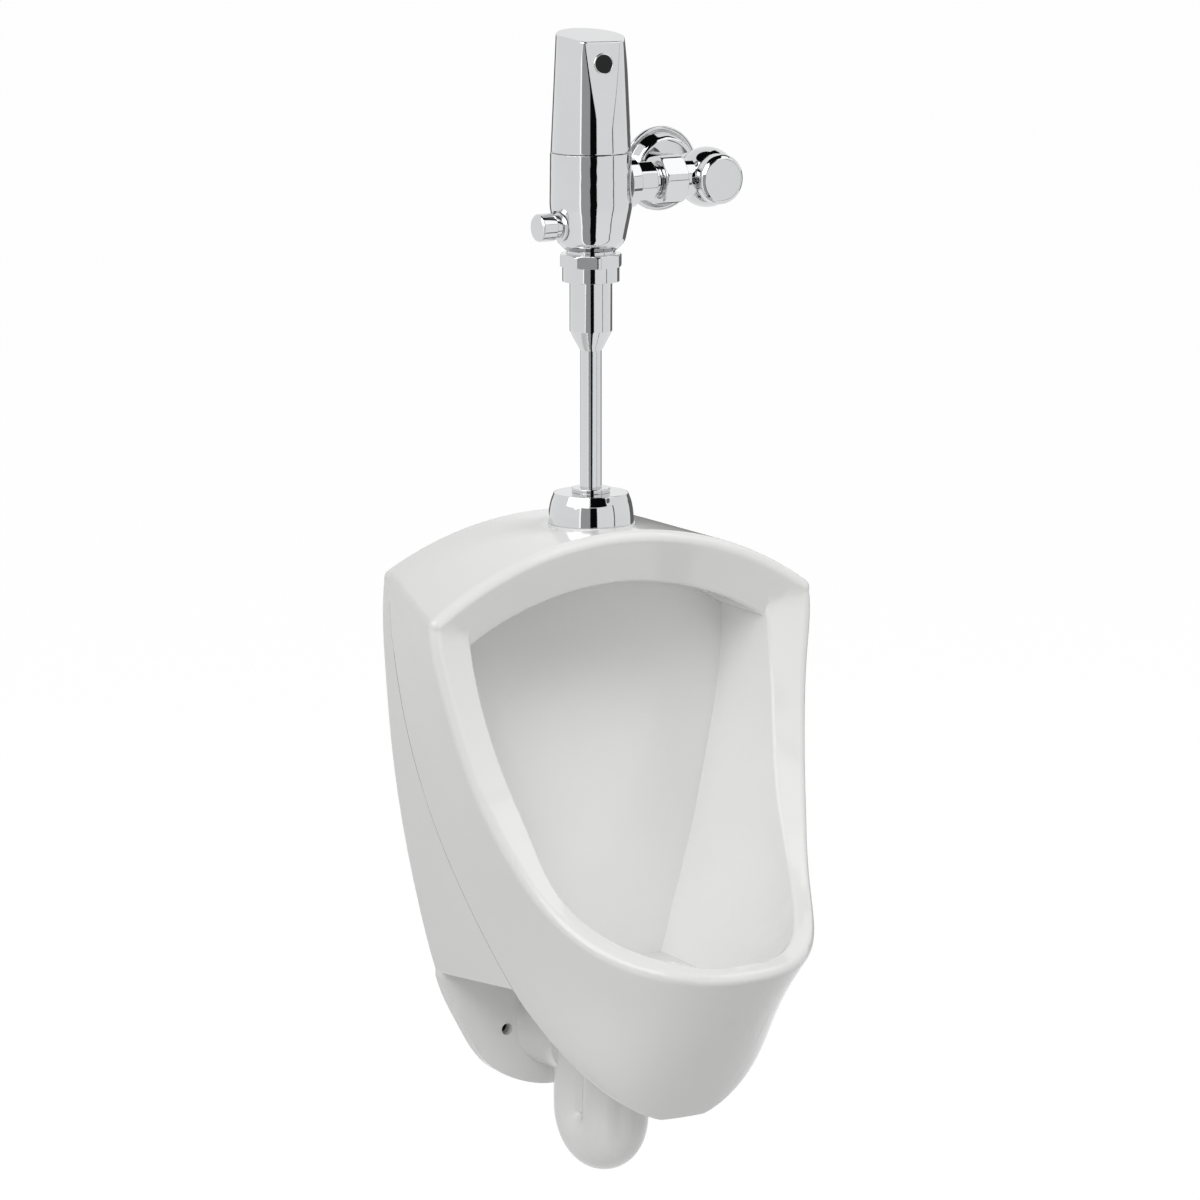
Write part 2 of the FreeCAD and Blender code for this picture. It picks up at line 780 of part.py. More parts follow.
    def sump_loft(wall):
        ovals = []
        for height, width, back, front in SUMP_LEVEL_SHARES:
            ovals.append(((back + front) / -2 * reach, level(height), width * half + wall,
                          (front - back) / 2 * reach + wall))
        ovals.append((drain_y, v.sump_height - wall, v.sump_diameter / 2 + wall,
                      v.sump_diameter / 2 + wall))
        rings = []
        for y, z, across, along in ovals:
            centre = Vector(0, y, z)
            if along > across:
                oval = Part.Ellipse(Vector(0, y + along, z), Vector(across, y, z), centre)
            else:
                oval = Part.Circle(centre, Vector(0, 0, 1), across)
            rings.append(Part.Wire([oval.toShape()]))
        return Part.makeLoft(rings, True, False)

    sump_inside = sump_loft(0.0)
    sump_outside = sump_loft(v.china_wall)
    leg = v.trap_diameter / 2
    bore = v.trap_bore / 2
    bend = v.trap_spacing / 2
    front_y = -v.trap_setback - bend
    rear_y = -v.trap_setback + bend
    bend_z = -v.trap_drop + leg + bend
    sump_z = v.sump_height

    def bend_solid(radius):
        """The lower half turn of a tube of this radius about the trap's middle."""
        low = max(bend - radius, 0.0)
        high = bend + radius
        chord = math.sqrt(max(radius ** 2 - bend ** 2, 0.0)) if low == 0 else 0.0
        middle = -v.trap_setback
        if low > 0:
            disc = Part.Face(Part.Wire(Part.Circle(
                Vector(0, middle - bend, bend_z), Vector(0, 0, 1), radius).toShape()))
        else:
            arc = Part.Arc(Vector(-chord, middle, bend_z), Vector(0, middle - high, bend_z),
                           Vector(chord, middle, bend_z)).toShape()
            disc = Part.Face(joined(arc, Vector(chord, middle, bend_z),
                                    Vector(-chord, middle, bend_z)))
        return disc.revolve(Vector(0, middle, bend_z), Vector(1, 0, 0), 180)

    def pipework(radius, outlet_radius, head_z):
        front_leg = Part.makeCylinder(radius, head_z - bend_z, Vector(0, front_y, bend_z))
        rear_leg = Part.makeCylinder(radius, radius - bend_z, Vector(0, rear_y, bend_z))
        horn = Part.makeCylinder(outlet_radius, -rear_y, Vector(0, rear_y, 0), Vector(0, 1, 0))
        return front_leg.fuse([rear_leg, bend_solid(radius)]).fuse(horn)

    head_z = v.sump_height
    web = Part.makeBox(v.trap_web, v.trap_spacing, -bend_z + v.sump_height,
                       Vector(-v.trap_web / 2, front_y, bend_z))
    outside_pipe = pipework(leg, v.outlet_horn / 2, head_z)
    inside_pipe = pipework(bore, v.outlet_bore / 2, sump_z + over)
    form = form.fuse(plate)
    form = form.fuse(sump_outside)
    form = form.fuse(outside_pipe)
    form = form.fuse(web)
    form = form.cut(bowl.common(limit))
    form = form.cut(sump_inside)
    form = form.cut(inside_pipe)

    # Outlet recess for the gasket, strainer seat, bolt holes.
    form = form.cut(Part.makeCylinder(v.outlet_recess / 2, v.outlet_recess_depth,
                                      Vector(0, -v.outlet_recess_depth, 0), Vector(0, 1, 0)))
    for side in (-1, 1):
        form = form.cut(Part.makeCylinder(
            v.bolt_hole / 2, v.ear_thickness + over,
            Vector(side * v.bolt_spacing / 2, -v.ear_thickness - over / 2, 0), Vector(0, 1, 0)))
    form = form.cut(Part.makeCylinder(
        v.sump_diameter / 2 + v.strainer_seat, v.strainer_seat,
        Vector(0, drain_y, v.sump_height)))

    # Open back, with a rib that the hangers hook into.
    rooms = []
    for row in BOWL_LEVEL_SHARES[1:-1]:
        z = level(row[0])
        x = share_at(HULL_LEVEL_SHARES, row[0]) * half - v.side_wall
        y = v.china_wall - row[3] * reach
        corners = [Vector(-x, over, z), Vector(-x, y, z), Vector(x, y, z), Vector(x, over, z)]
        rooms.append(Part.makePolygon(corners + corners[:1]))
    room = Part.makeLoft(rooms, True, True)
    under = inner - v.china_wall
    room = room.common(Part.makeCylinder(under, far, Vector(0, over, axis_z), Vector(0, -1, 0)).fuse(
        Part.makeBox(2 * wide, far, rise, Vector(-wide, over - far, axis_z - rise))))
    rib_z = v.crown_height - v.rib_drop - v.rib_depth
    rib = Part.makeBox(wide, v.rib_depth, v.rib_depth,
                       Vector(-half, -v.rib_reach, rib_z))
    slot_y = -v.rib_reach + v.hanger_thickness
    for side in (-1, 1):
        rib = rib.cut(Part.makeBox(
            v.hanger_width + v.hanger_thickness, v.hanger_thickness * 3, v.rib_depth,
            Vector(side * v.hanger_spacing / 2 - (v.hanger_width + v.hanger_thickness) / 2,
                   slot_y, rib_z)))
    form = form.cut(room.cut(rib))

    # Water channel behind the crown's band, its wash slots, and the spud's land and hole.
    def crown_ring(radius, front, back):
        return Part.makeCylinder(radius, front - back, Vector(0, -back, axis_z), Vector(0, -1, 0))

    channel = crown_ring(v.crown_radius - v.china_wall, v.channel_front, v.channel_back).cut(
        crown_ring(inner + v.china_wall, v.channel_front, v.channel_back))
    channel = channel.common(Part.makeBox(v.channel_width, far, rise, Vector(
        -v.channel_width / 2, -far, axis_z)))
    slot = Part.makeBox(
        v.wash_slot_width, v.wash_slot_depth, v.china_wall * 2,
        Vector(-v.wash_slot_width / 2, -v.wash_slot_setback - v.wash_slot_depth / 2,
               axis_z + inner - v.china_wall / 2))
    slots = []
    for i in range(WASH_SLOTS):
        turn = (i - (WASH_SLOTS - 1) / 2) * v.wash_slot_pitch / inner
        turned_slot = slot.copy()
        turned_slot.rotate(Vector(0, 0, axis_z), Vector(0, 1, 0), math.degrees(turn))
        slots.append(turned_slot)
    spud_at = Vector(0, -v.tube_setback, v.crown_height - v.china_wall)
    form = form.fuse(Part.makeCylinder(v.spud_land / 2, v.china_wall, spud_at))
    hole = Part.makeCylinder(v.spud_hole / 2, v.china_wall * 2 + v.rim_band / 4,
                             spud_at - Vector(0, 0, v.rim_band / 4))
    form = form.cut([channel, hole] + slots)
    return form.Solids[0]


china = DOC.addObject("Part::Feature", "china")
china.Shape = china_shape()
keep("china_body", china)

C = d.fit_clearance
SLIDE = d.slide_clearance
CROWN = d.crown_height
VALVE = CROWN + d.body_base
SUPPLY = VALVE + d.supply_rise
BUTTON = VALVE + d.button_rise


def half(size):
    return size / 2


def on_tube(height):
    """A point on the flush tube's axis."""
    return (ZERO, -d.tube_setback, height)


def on_supply(x):
    """A point on the line from the valve to the stop."""
    return (x, -d.tube_setback, SUPPLY)


# Wall hangers: a plate on the wall with a shelf and an upturned tongue, one each side.
RIB = CROWN - d.rib_drop - d.rib_depth
hooks = []
for number, side in enumerate((-1.0, 1.0)):
    left = d.hanger_spacing * (side / 2) - half(d.hanger_width)
    thick = d.hanger_thickness
    tongue_y = thick + half(thick) - d.rib_reach
    plate = block("hanger_plate_%d" % number, d.hanger_width, thick, d.hanger_height,
                  (left, -thick, RIB + d.hanger_tongue - d.hanger_height))
    shelf = block("hanger_shelf_%d" % number, d.hanger_width, -tongue_y, thick,
                  (left, tongue_y, RIB - thick))
    tongue = block("hanger_tongue_%d" % number, d.hanger_width, thick, d.hanger_tongue + thick,
                   (left, tongue_y, RIB - thick))
    holes = []
    for row, share in enumerate((1.0, 2.0)):
        holes.append(rod("hanger_hole_%d_%d" % (number, row), half(d.hanger_hole), d.rib_reach * 2,
                         (d.hanger_spacing * (side / 2), d.rib_reach - thick,
                          RIB + half(d.hanger_hole_pitch) - d.hanger_hole_pitch * share), FRONT))
    hooks.append(cut("hanger_%d" % number, fuse("hanger_blank_%d" % number, plate, shelf, tongue),
                     *holes))
keep("wall_hangers", fuse("hangers", *hooks))

# Drain strainer on its seat, and the outlet gasket in its recess.
DRAIN_Y = -d.trap_setback - half(d.trap_spacing)
STRAINER_HOLES = 8
disc = rod("strainer_disc", half(d.sump_diameter) + d.strainer_seat - d.strainer_clearance,
           d.strainer_thickness, (ZERO, DRAIN_Y, d.sump_height))
drills = [rod("strainer_hole_centre", half(d.strainer_hole), d.strainer_thickness,
              (ZERO, DRAIN_Y, d.sump_height))]
for number in range(STRAINER_HOLES):
    turn = 2 * math.pi * number / STRAINER_HOLES
    drills.append(rod("strainer_hole_%d" % number, half(d.strainer_hole), d.strainer_thickness,
                      (half(d.strainer_circle) * math.cos(turn),
                       DRAIN_Y + half(d.strainer_circle) * math.sin(turn), d.sump_height)))
keep("drain_strainer", cut("strainer", disc, *drills))
keep("outlet_gasket", ring("gasket_outlet", half(d.outlet_recess) - C, half(d.outlet_gasket_bore),
                           d.outlet_recess_depth, (ZERO, ZERO, ZERO), FRONT))

# Spud, its gasket and nuts, and the bell that hides them.
spud_r = half(d.spud_diameter)
tube_r = half(d.tube_diameter)
keep("spud_gasket", turned("gasket_spud", [
    (spud_r + C, ZERO), (half(d.spud_hole) - C, ZERO), (half(d.spud_hole) - C, d.spud_depth),
    (half(d.spud_gasket_flange), d.spud_depth),
    (half(d.spud_gasket_flange), d.spud_depth + d.spud_gasket_lip),
    (spud_r + C, d.spud_depth + d.spud_gasket_lip)], on_tube(CROWN - d.spud_depth)))
keep("inlet_spud", ring("spud", spud_r, tube_r + SLIDE, d.spud_depth + d.spud_rise,
                        on_tube(CROWN - d.spud_depth)))
locknut_base = CROWN + d.spud_gasket_lip
keep("spud_locknut", cut(
    "locknut", prism("locknut_blank", 6, d.locknut_flats, d.locknut_height, on_tube(locknut_base)),
    rod("locknut_bore", spud_r + C, d.locknut_height, on_tube(locknut_base))))
coupling_base = CROWN + d.coupling_base
slip_base = CROWN + d.spud_rise
slip_top = slip_base + d.slip_gasket_height + d.friction_ring_height
keep("spud_coupling_nut", cut(
    "coupling",
    prism("coupling_blank", 6, d.coupling_flats, d.coupling_height, on_tube(coupling_base)),
    rod("coupling_thread", spud_r + C, slip_top - coupling_base, on_tube(coupling_base)),
    rod("coupling_bore", tube_r + SLIDE, d.coupling_height, on_tube(coupling_base))))
keep("slip_gasket", ring("gasket_slip", spud_r - C, tube_r + C, d.slip_gasket_height,
                         on_tube(slip_base)))
keep("friction_ring", ring("ring_friction", spud_r - C, tube_r + C, d.friction_ring_height,
                           on_tube(slip_base + d.slip_gasket_height)))
bell_base_r = half(d.bell_base)
bell_top_r = half(d.bell_top)
keep("spud_escutcheon", turned("bell", [
    (bell_base_r - d.bell_wall, ZERO), (bell_base_r, ZERO),
    (bell_top_r, d.bell_height, d.bell_rounding), (tube_r + SLIDE, d.bell_height),
    (tube_r + SLIDE, d.bell_height - d.bell_wall),
    (bell_top_r - d.bell_wall, d.bell_height - d.bell_wall, d.bell_rounding - d.bell_wall)],
    on_tube(CROWN)))
keep("tube_collar", turned("collar", [
    (tube_r + C, ZERO), (half(d.collar_diameter), ZERO),
    (half(d.collar_diameter), d.collar_height, half(d.bell_wall)), (tube_r + C, d.collar_height)],
    on_tube(CROWN + d.bell_height)))

# Flush tube, widened at the top for the vacuum breaker and flanged under the valve.
breaker_r = half(d.breaker_diameter)
flange_top = d.tube_depth + d.nut_base + d.nut_lip + d.breaker_flange_height
cone_top = flange_top - d.breaker_flange_height - d.breaker_length
cone_base = cone_top - d.breaker_cone
keep("flush_tube", turned("tube", [
    (tube_r - d.tube_wall, ZERO), (tube_r, ZERO), (tube_r, cone_base), (breaker_r, cone_top),
    (breaker_r, flange_top - d.breaker_flange_height),
    (half(d.breaker_flange), flange_top - d.breaker_flange_height),
    (half(d.breaker_flange), flange_top), (breaker_r - d.breaker_wall, flange_top),
    (breaker_r - d.breaker_wall, cone_top), (tube_r - d.tube_wall, cone_base)],
    on_tube(CROWN - d.tube_depth)))
cage_r = breaker_r - d.breaker_wall - C
cage_base = CROWN + d.nut_base + d.nut_lip - d.cage_drop - d.cage_height
keep("breaker_cage", turned("cage", [
    (cage_r - d.cage_wall * 2, ZERO), (cage_r, ZERO), (cage_r, d.cage_height),
    (cage_r - d.cage_wall, d.cage_height),
    (cage_r - d.cage_wall, d.cage_wall), (cage_r - d.cage_wall * 2, d.cage_wall)],
    on_tube(cage_base)))
keep("breaker_sleeve", ring("sleeve", cage_r - d.cage_wall - SLIDE,
                            cage_r - d.cage_wall - SLIDE - d.sleeve_wall, d.sleeve_height,
                            on_tube(cage_base + d.cage_wall)))

# Nut that joins the tube to the valve.
spigot_r = half(d.spigot_diameter)
spigot_base = CROWN + d.nut_base + d.nut_lip + d.breaker_flange_height + d.outlet_washer_height
keep("outlet_washer", ring("washer_outlet", spigot_r, half(d.spigot_bore), d.outlet_washer_height,
                           on_tube(spigot_base - d.outlet_washer_height)))
nut_base = CROWN + d.nut_base
nut_skirt = turned("nut_skirt", [
    (breaker_r + SLIDE, ZERO), (half(d.nut_skirt), ZERO, d.nut_rounding),
    (half(d.nut_skirt), d.nut_skirt_height), (breaker_r + SLIDE, d.nut_skirt_height)],
    on_tube(nut_base))
nut_flanks = common(
    "nut_octagon",
    prism("nut_prism", 8, d.nut_flats, d.nut_height, on_tube(nut_base), OCTAGON_HALF_TURN),
    turned("nut_blank", [
        (breaker_r, d.nut_skirt_height), (half(d.nut_flats), d.nut_skirt_height),
        (half(d.nut_flats) + d.nut_lip, d.nut_skirt_height + d.nut_rounding),
        (half(d.nut_flats) + d.nut_lip, d.nut_height - d.nut_rounding),
        (half(d.nut_flats), d.nut_height), (breaker_r, d.nut_height)], on_tube(nut_base)))
keep("outlet_coupling_nut", cut(
    "nut", fuse("nut_body", nut_skirt, nut_flanks),
    rod("nut_thread", spigot_r + SLIDE, d.nut_height - d.nut_lip, on_tube(nut_base + d.nut_lip)),
    rod("nut_bore", breaker_r + SLIDE, d.nut_height, on_tube(nut_base))))

# Valve body: turned shell with a side inlet boss and a hole for the override button.
neck = VALVE - spigot_base
chamber_r = half(d.chamber_diameter)
bore_r = half(d.spigot_bore)
rim = neck + d.body_height
floor = neck + d.chamber_floor
seat = floor + d.seat_height
body_blank = turned("valve_shell", [
    (bore_r, ZERO), (spigot_r, ZERO), (spigot_r, neck), (half(d.body_neck), neck),
    (half(d.body_shoulder), neck + d.body_shoulder_rise, d.body_shoulder_rounding),
    (half(d.body_diameter), neck + d.body_swell_rise, d.body_swell_rounding),
    (half(d.body_rim), rim), (chamber_r, rim), (chamber_r, floor), (bore_r + d.seat_wall, floor),
    (bore_r + d.seat_wall, seat), (bore_r, seat)], on_tube(spigot_base))
boss = rod("inlet_boss", half(d.inlet_boss), d.inlet_boss_reach - chamber_r, on_supply(chamber_r),
           RIGHT)


def from_button(reach):
    """A point on the override button's axis, this far to the left of the valve's axis."""
    return (-reach, -d.tube_setback, BUTTON)


keep("valve_body", drilled(
    "valve", fuse("valve_blank", body_blank, boss),
    rod("inlet_passage", half(d.inlet_bore), d.inlet_boss_reach - bore_r, on_supply(bore_r), RIGHT),
    rod("inlet_socket", half(d.inlet_thread), d.inlet_thread_depth,
        on_supply(d.inlet_boss_reach - d.inlet_thread_depth), RIGHT),
    rod("button_spotface", half(d.button_collar) + SLIDE, d.button_collar_reach,
        from_button(d.button_seat_reach), LEFT),
    rod("button_socket", half(d.button_thread), d.button_collar_reach,
        from_button(d.button_thread_reach), LEFT),
    rod("button_passage", half(d.button_stem) + SLIDE, d.button_collar_reach - half(bore_r),
        from_button(half(bore_r)), LEFT)))

# Piston with its seal, and the relief valve that hangs through it.
seat_z = spigot_base + seat
guide_r = half(d.piston_guide)
head_r = chamber_r - SLIDE
keep("piston_seal", ring("seal_piston", head_r, guide_r + C, d.seal_thickness, on_tube(seat_z)))
head = d.piston_guide_depth + d.seal_thickness
piston_top = seat_z + d.seal_thickness + d.piston_thickness


def heel(name, clearance):
    """The round heel at the left edge of the relief valve's disc, along Y."""
    length = d.relief_heel_length + clearance * 2
    return rod(name, half(d.relief_heel) + clearance, length,
               (-half(d.relief_disc), half(length) - d.tube_setback, piston_top), FRONT)


keep("piston", cut("piston_grooved", turned("piston_moulding", [
    (half(d.piston_bore), ZERO), (guide_r, ZERO), (guide_r, head), (head_r, head),
    (head_r, head + d.piston_thickness), (half(d.piston_bore), head + d.piston_thickness)],
    on_tube(seat_z - d.piston_guide_depth)), heel("heel_groove", SLIDE)))
keep("relief_stem", fuse("relief_valve", turned("relief", [
    (ZERO, ZERO), (half(d.relief_stem), ZERO), (half(d.relief_stem), d.relief_stem_length),
    (half(d.relief_disc), d.relief_stem_length),
    (half(d.relief_disc), d.relief_stem_length + d.relief_disc_height),
    (ZERO, d.relief_stem_length + d.relief_disc_height)],
    on_tube(piston_top - d.relief_stem_length)), heel("relief_heel_rod", ZERO)))

# Inner cap with its O-ring, closing the chamber under the cover.
rim_z = spigot_base + rim
cap_r = chamber_r - C
groove = half(d.cap_depth - d.cap_groove_height)
keep("inner_cap", turned("cap", [
    (half(d.cap_port), ZERO), (cap_r, ZERO), (cap_r, groove), (cap_r - d.cap_groove_depth, groove),
    (cap_r - d.cap_groove_depth, groove + d.cap_groove_height),
    (cap_r, groove + d.cap_groove_height), (cap_r, d.cap_depth), (half(d.cap_flange), d.cap_depth),
    (half(d.cap_flange), d.cap_depth + d.cap_flange_height),
    (half(d.cap_port), d.cap_depth + d.cap_flange_height)], on_tube(rim_z - d.cap_depth)))


def o_ring(name, middle, wire, base, turn=UP):
    """A round-wire ring by the radius of its middle and its wire's diameter."""
    thing = DOC.addObject("Part::Torus", name)
    thing.setExpression("Radius1", middle.text)
    thing.setExpression("Radius2", half(wire).text)
    return place(thing, base, turn)


keep("cap_oring", o_ring("oring_cap", cap_r - half(d.cap_groove_depth), d.cap_groove_depth - C * 2,
                         on_tube(rim_z - half(d.cap_depth))))

# Solenoid with its plunger and spring, on the inner cap's port.
deck = rim_z + d.cap_flange_height
plunger_r = half(d.plunger_diameter)
keep("solenoid_body", turned("solenoid", [
    (plunger_r + C, ZERO), (half(d.solenoid_diameter), ZERO),
    (half(d.solenoid_diameter), d.solenoid_height), (ZERO, d.solenoid_height),
    (ZERO, d.plunger_bore_depth), (plunger_r + C, d.plunger_bore_depth)], on_tube(deck)))
keep("solenoid_plunger", rod("plunger", plunger_r, d.plunger_length, on_tube(deck)))
keep("solenoid_spring", ring("spring_solenoid", plunger_r - C,
                             plunger_r - C - d.solenoid_spring_wall,
                             d.plunger_bore_depth - d.plunger_length,
                             on_tube(deck + d.plunger_length)))

# Cover: a tapering shell with a sloped top, a leaning front facet for the lens and a facet on
# each side of it.
seam_z = rim_z + d.cover_seam
cover_tall = d.cover_height + half(d.cover_top)
taper = (half(d.cover_base) - half(d.cover_top)) / cover_tall
LEAN_SHARE = math.tan(math.radians(v.facet_lean))


def facing(turn, lean):
    """The turn that points an axis forward, swung about the valve's axis and tipped up."""
    return Rotation(Vector(0, 0, 1), turn).multiply(FRONT).multiply(Rotation(Vector(1, 0, 0), -lean))


def around(reach, turn, height):
    """A point this far from the valve's axis, swung from the front."""
    angle = math.radians(turn)
    return (reach * math.sin(angle), -d.tube_setback - reach * math.cos(angle), height)


def cover_form(name, inset):
    cone = DOC.addObject("Part::Cone", name + "_cone")
    cone.setExpression("Radius1", (half(d.cover_base) - inset).text)
    cone.setExpression("Radius2", (half(d.cover_top) - inset).text)
    cone.setExpression("Height", cover_tall.text)
    place(cone, on_tube(seam_z))
    tools = [rod(name + "_top", d.cover_base, cover_tall, on_tube(seam_z + d.cover_height - inset),
                 Rotation(Vector(1, 0, 0), v.cover_slope))]
    facets = ((0.0, d.facet_rise), (-v.side_facet_turn, d.left_facet_rise),
              (v.side_facet_turn, d.right_facet_rise))
    for number, (swing, rise) in enumerate(facets):
        turn = v.cover_turn + swing
        reach = half(d.cover_base) - taper * rise - inset
        tools.append(rod("%s_facet_%d" % (name, number), d.cover_base * 2, d.cover_base,
                         around(reach, turn, seam_z + rise), facing(turn, v.facet_lean)))
    return cut(name, cone, *tools)


lens_reach = (half(d.cover_base) - taper * d.facet_rise
              - (d.lens_rise - d.facet_rise) * LEAN_SHARE)
lens_turn = facing(v.cover_turn, v.facet_lean)
lens_back = around(lens_reach - d.lens_thickness, v.cover_turn, seam_z + d.lens_rise)
screw_y = half(d.cover_base) - taper * d.cover_screw_rise - d.cover_screw_length
screw_at = (ZERO, screw_y - d.tube_setback, seam_z + d.cover_screw_rise)
keep("valve_cover", cut(
    "cover", cover_form("cover_outside", ZERO), cover_form("cover_inside", d.cover_wall),
    rod("lens_hole", half(d.lens_diameter) + C, d.lens_thickness * 3, lens_back, lens_turn),
    rod("cover_screw_hole", half(d.cover_screw_diameter) + C, d.cover_screw_length * 2, screw_at,
        BACK)))
keep("sensor_lens", rod("lens", half(d.lens_diameter), d.lens_thickness - SLIDE, lens_back,
                        lens_turn))
keep("cover_screw", rod("screw_cover", half(d.cover_screw_diameter), d.cover_screw_length - SLIDE,
                        screw_at, BACK))

# Electronics under the cover.
keep("sensor_module", block("module", d.module_width, d.module_depth, d.module_height,
                            (-half(d.module_width), -d.tube_setback - d.module_reach,
                             seam_z + d.lens_rise - half(d.module_height))))
keep("control_board", block("board", d.board_width, d.board_thickness, d.board_height,
                            (-half(d.board_width), -d.tube_setback - d.board_reach,
                             deck)))
holder_y = d.holder_setback - d.tube_setback
pockets, cells = [], []
for number, side in enumerate((-0.5, 0.5)):
    at = (d.cell_pitch * side, holder_y, deck + d.holder_floor)
    pockets.append(rod("pocket_%d" % number, half(d.cell_diameter) + C, d.holder_height, at))
    cells.append(rod("cell_%d" % number, half(d.cell_diameter), d.cell_length, at))
keep("battery_holder", cut(
    "holder", block("holder_blank", d.holder_width, d.holder_depth, d.holder_height,
                    (-half(d.holder_width), holder_y - half(d.holder_depth), deck)), *pockets))
keep("battery_cells", fuse("cells", *cells))

# Override button on the valve's left: bushing, cap, stem, spring and seal.
stem_r = half(d.button_stem)
barrel_r = half(d.button_barrel)
thread_end = d.button_seat_reach - d.button_thread_reach


def past_thread(reach):
    """A place along the bushing, measured from its inner end."""
    return reach - d.button_thread_reach


keep("button_bushing", turned("bushing", [
    (stem_r + SLIDE, ZERO), (half(d.button_thread) - C, ZERO),
    (half(d.button_thread) - C, thread_end), (half(d.button_collar), thread_end),
    (half(d.button_collar), thread_end + d.button_collar_band),
    (barrel_r + d.button_rounding, past_thread(d.button_collar_reach)),
    (barrel_r, past_thread(d.button_collar_reach)), (barrel_r, past_thread(d.button_barrel_reach)),
    (half(d.button_spring_bore), past_thread(d.button_barrel_reach)),
    (half(d.button_spring_bore), past_thread(d.button_spring_floor)),
    (stem_r + SLIDE, past_thread(d.button_spring_floor))], from_button(d.button_thread_reach), LEFT))
cap_base = d.button_cap_reach - d.button_cap_height
cap_inner = d.button_cap_height - d.button_cap_wall
keep("button_cap", turned("cap_button", [
    (barrel_r + SLIDE, ZERO), (half(d.button_cap_diameter), ZERO),
    (half(d.button_cap_diameter), d.button_cap_height, d.button_rounding),
    (ZERO, d.button_cap_height), (ZERO, cap_inner), (barrel_r + SLIDE, cap_inner)],
    from_button(cap_base), LEFT))
stem_tip = half(d.relief_stem) + d.button_stem_gap
keep("button_stem", rod("stem_button", stem_r, cap_base + cap_inner - stem_tip,
                        from_button(stem_tip), LEFT))
keep("button_spring", ring("spring_button", half(d.button_spring_bore) - SLIDE,
                           half(d.button_spring_bore) - SLIDE - d.button_spring_wall,
                           cap_base + cap_inner - d.button_spring_floor,
                           from_button(d.button_spring_floor), LEFT))
keep("button_seal", ring("seal_button", half(d.button_seal_diameter), stem_r + C,
                         d.button_seal_height, from_button(d.button_spring_floor), LEFT))

# Tailpiece from the valve to the stop, with eight flats on its collar.
pipe_r = half(d.tailpiece_tube)
bore = half(d.tailpiece_bore)
octagon = prism("collar_flats", 8, d.tailpiece_flats, d.tailpiece_collar_length,
                on_supply(d.inlet_boss_reach), RIGHT.multiply(OCTAGON_HALF_TURN))
collar_end = d.inlet_boss_reach + d.tailpiece_collar_length
keep("tailpiece", cut(
    "tail",
    fuse("tail_blank",
         common("tail_collar", octagon, rod("tail_collar_round", half(d.tailpiece_collar),
                                            d.tailpiece_collar_length,
                                            on_supply(d.inlet_boss_reach), RIGHT)),
         rod("tail_thread", half(d.inlet_thread) - C, d.inlet_thread_depth,
             on_supply(d.inlet_boss_reach - d.inlet_thread_depth), RIGHT),
         rod("tail_tube", pipe_r, d.tailpiece_reach - collar_end, on_supply(collar_end), RIGHT)),
    rod("tail_bore", bore, d.tailpiece_reach,
        on_supply(d.inlet_boss_reach - d.inlet_thread_depth), RIGHT)))

# Stop: coupling nut, body, and the screw-down valve inside it.
stop_x = d.supply_offset
nut_end = d.stop_nut_base + d.stop_nut_length
thread_r = half(d.stop_thread)
keep("stop_coupling_nut", cut(
    "stop_nut",
    common("stop_nut_blank",
           prism("stop_nut_prism", 6, d.stop_nut_flats, d.stop_nut_length,
                 on_supply(d.stop_nut_base), RIGHT.multiply(HEX_HALF_TURN)),
           turned("stop_nut_round", [
               (pipe_r, ZERO), (half(d.stop_nut_flats), ZERO),
               (half(d.stop_nut_flats) + d.stop_nut_lip, d.stop_nut_rounding),
               (half(d.stop_nut_flats) + d.stop_nut_lip, d.stop_nut_length),
               (pipe_r, d.stop_nut_length)], on_supply(d.stop_nut_base), RIGHT)),
    rod("stop_nut_thread", thread_r + C, d.stop_nut_length,
        on_supply(d.stop_nut_base + d.stop_nut_lip), RIGHT),
    rod("stop_nut_bore", pipe_r + SLIDE, d.stop_nut_length, on_supply(d.stop_nut_base), RIGHT)))
oring_x = d.stop_nut_base + d.stop_nut_lip + half(d.stop_oring_wire) + C
keep("stop_oring", o_ring("oring_stop", pipe_r + half(d.stop_oring_wire) + C, d.stop_oring_wire,
                          on_supply(oring_x), RIGHT))


def at_stop(setback):
    """A point on the supply line's axis, this far behind the stop's centre."""
    return (stop_x, setback - d.tube_setback, SUPPLY)


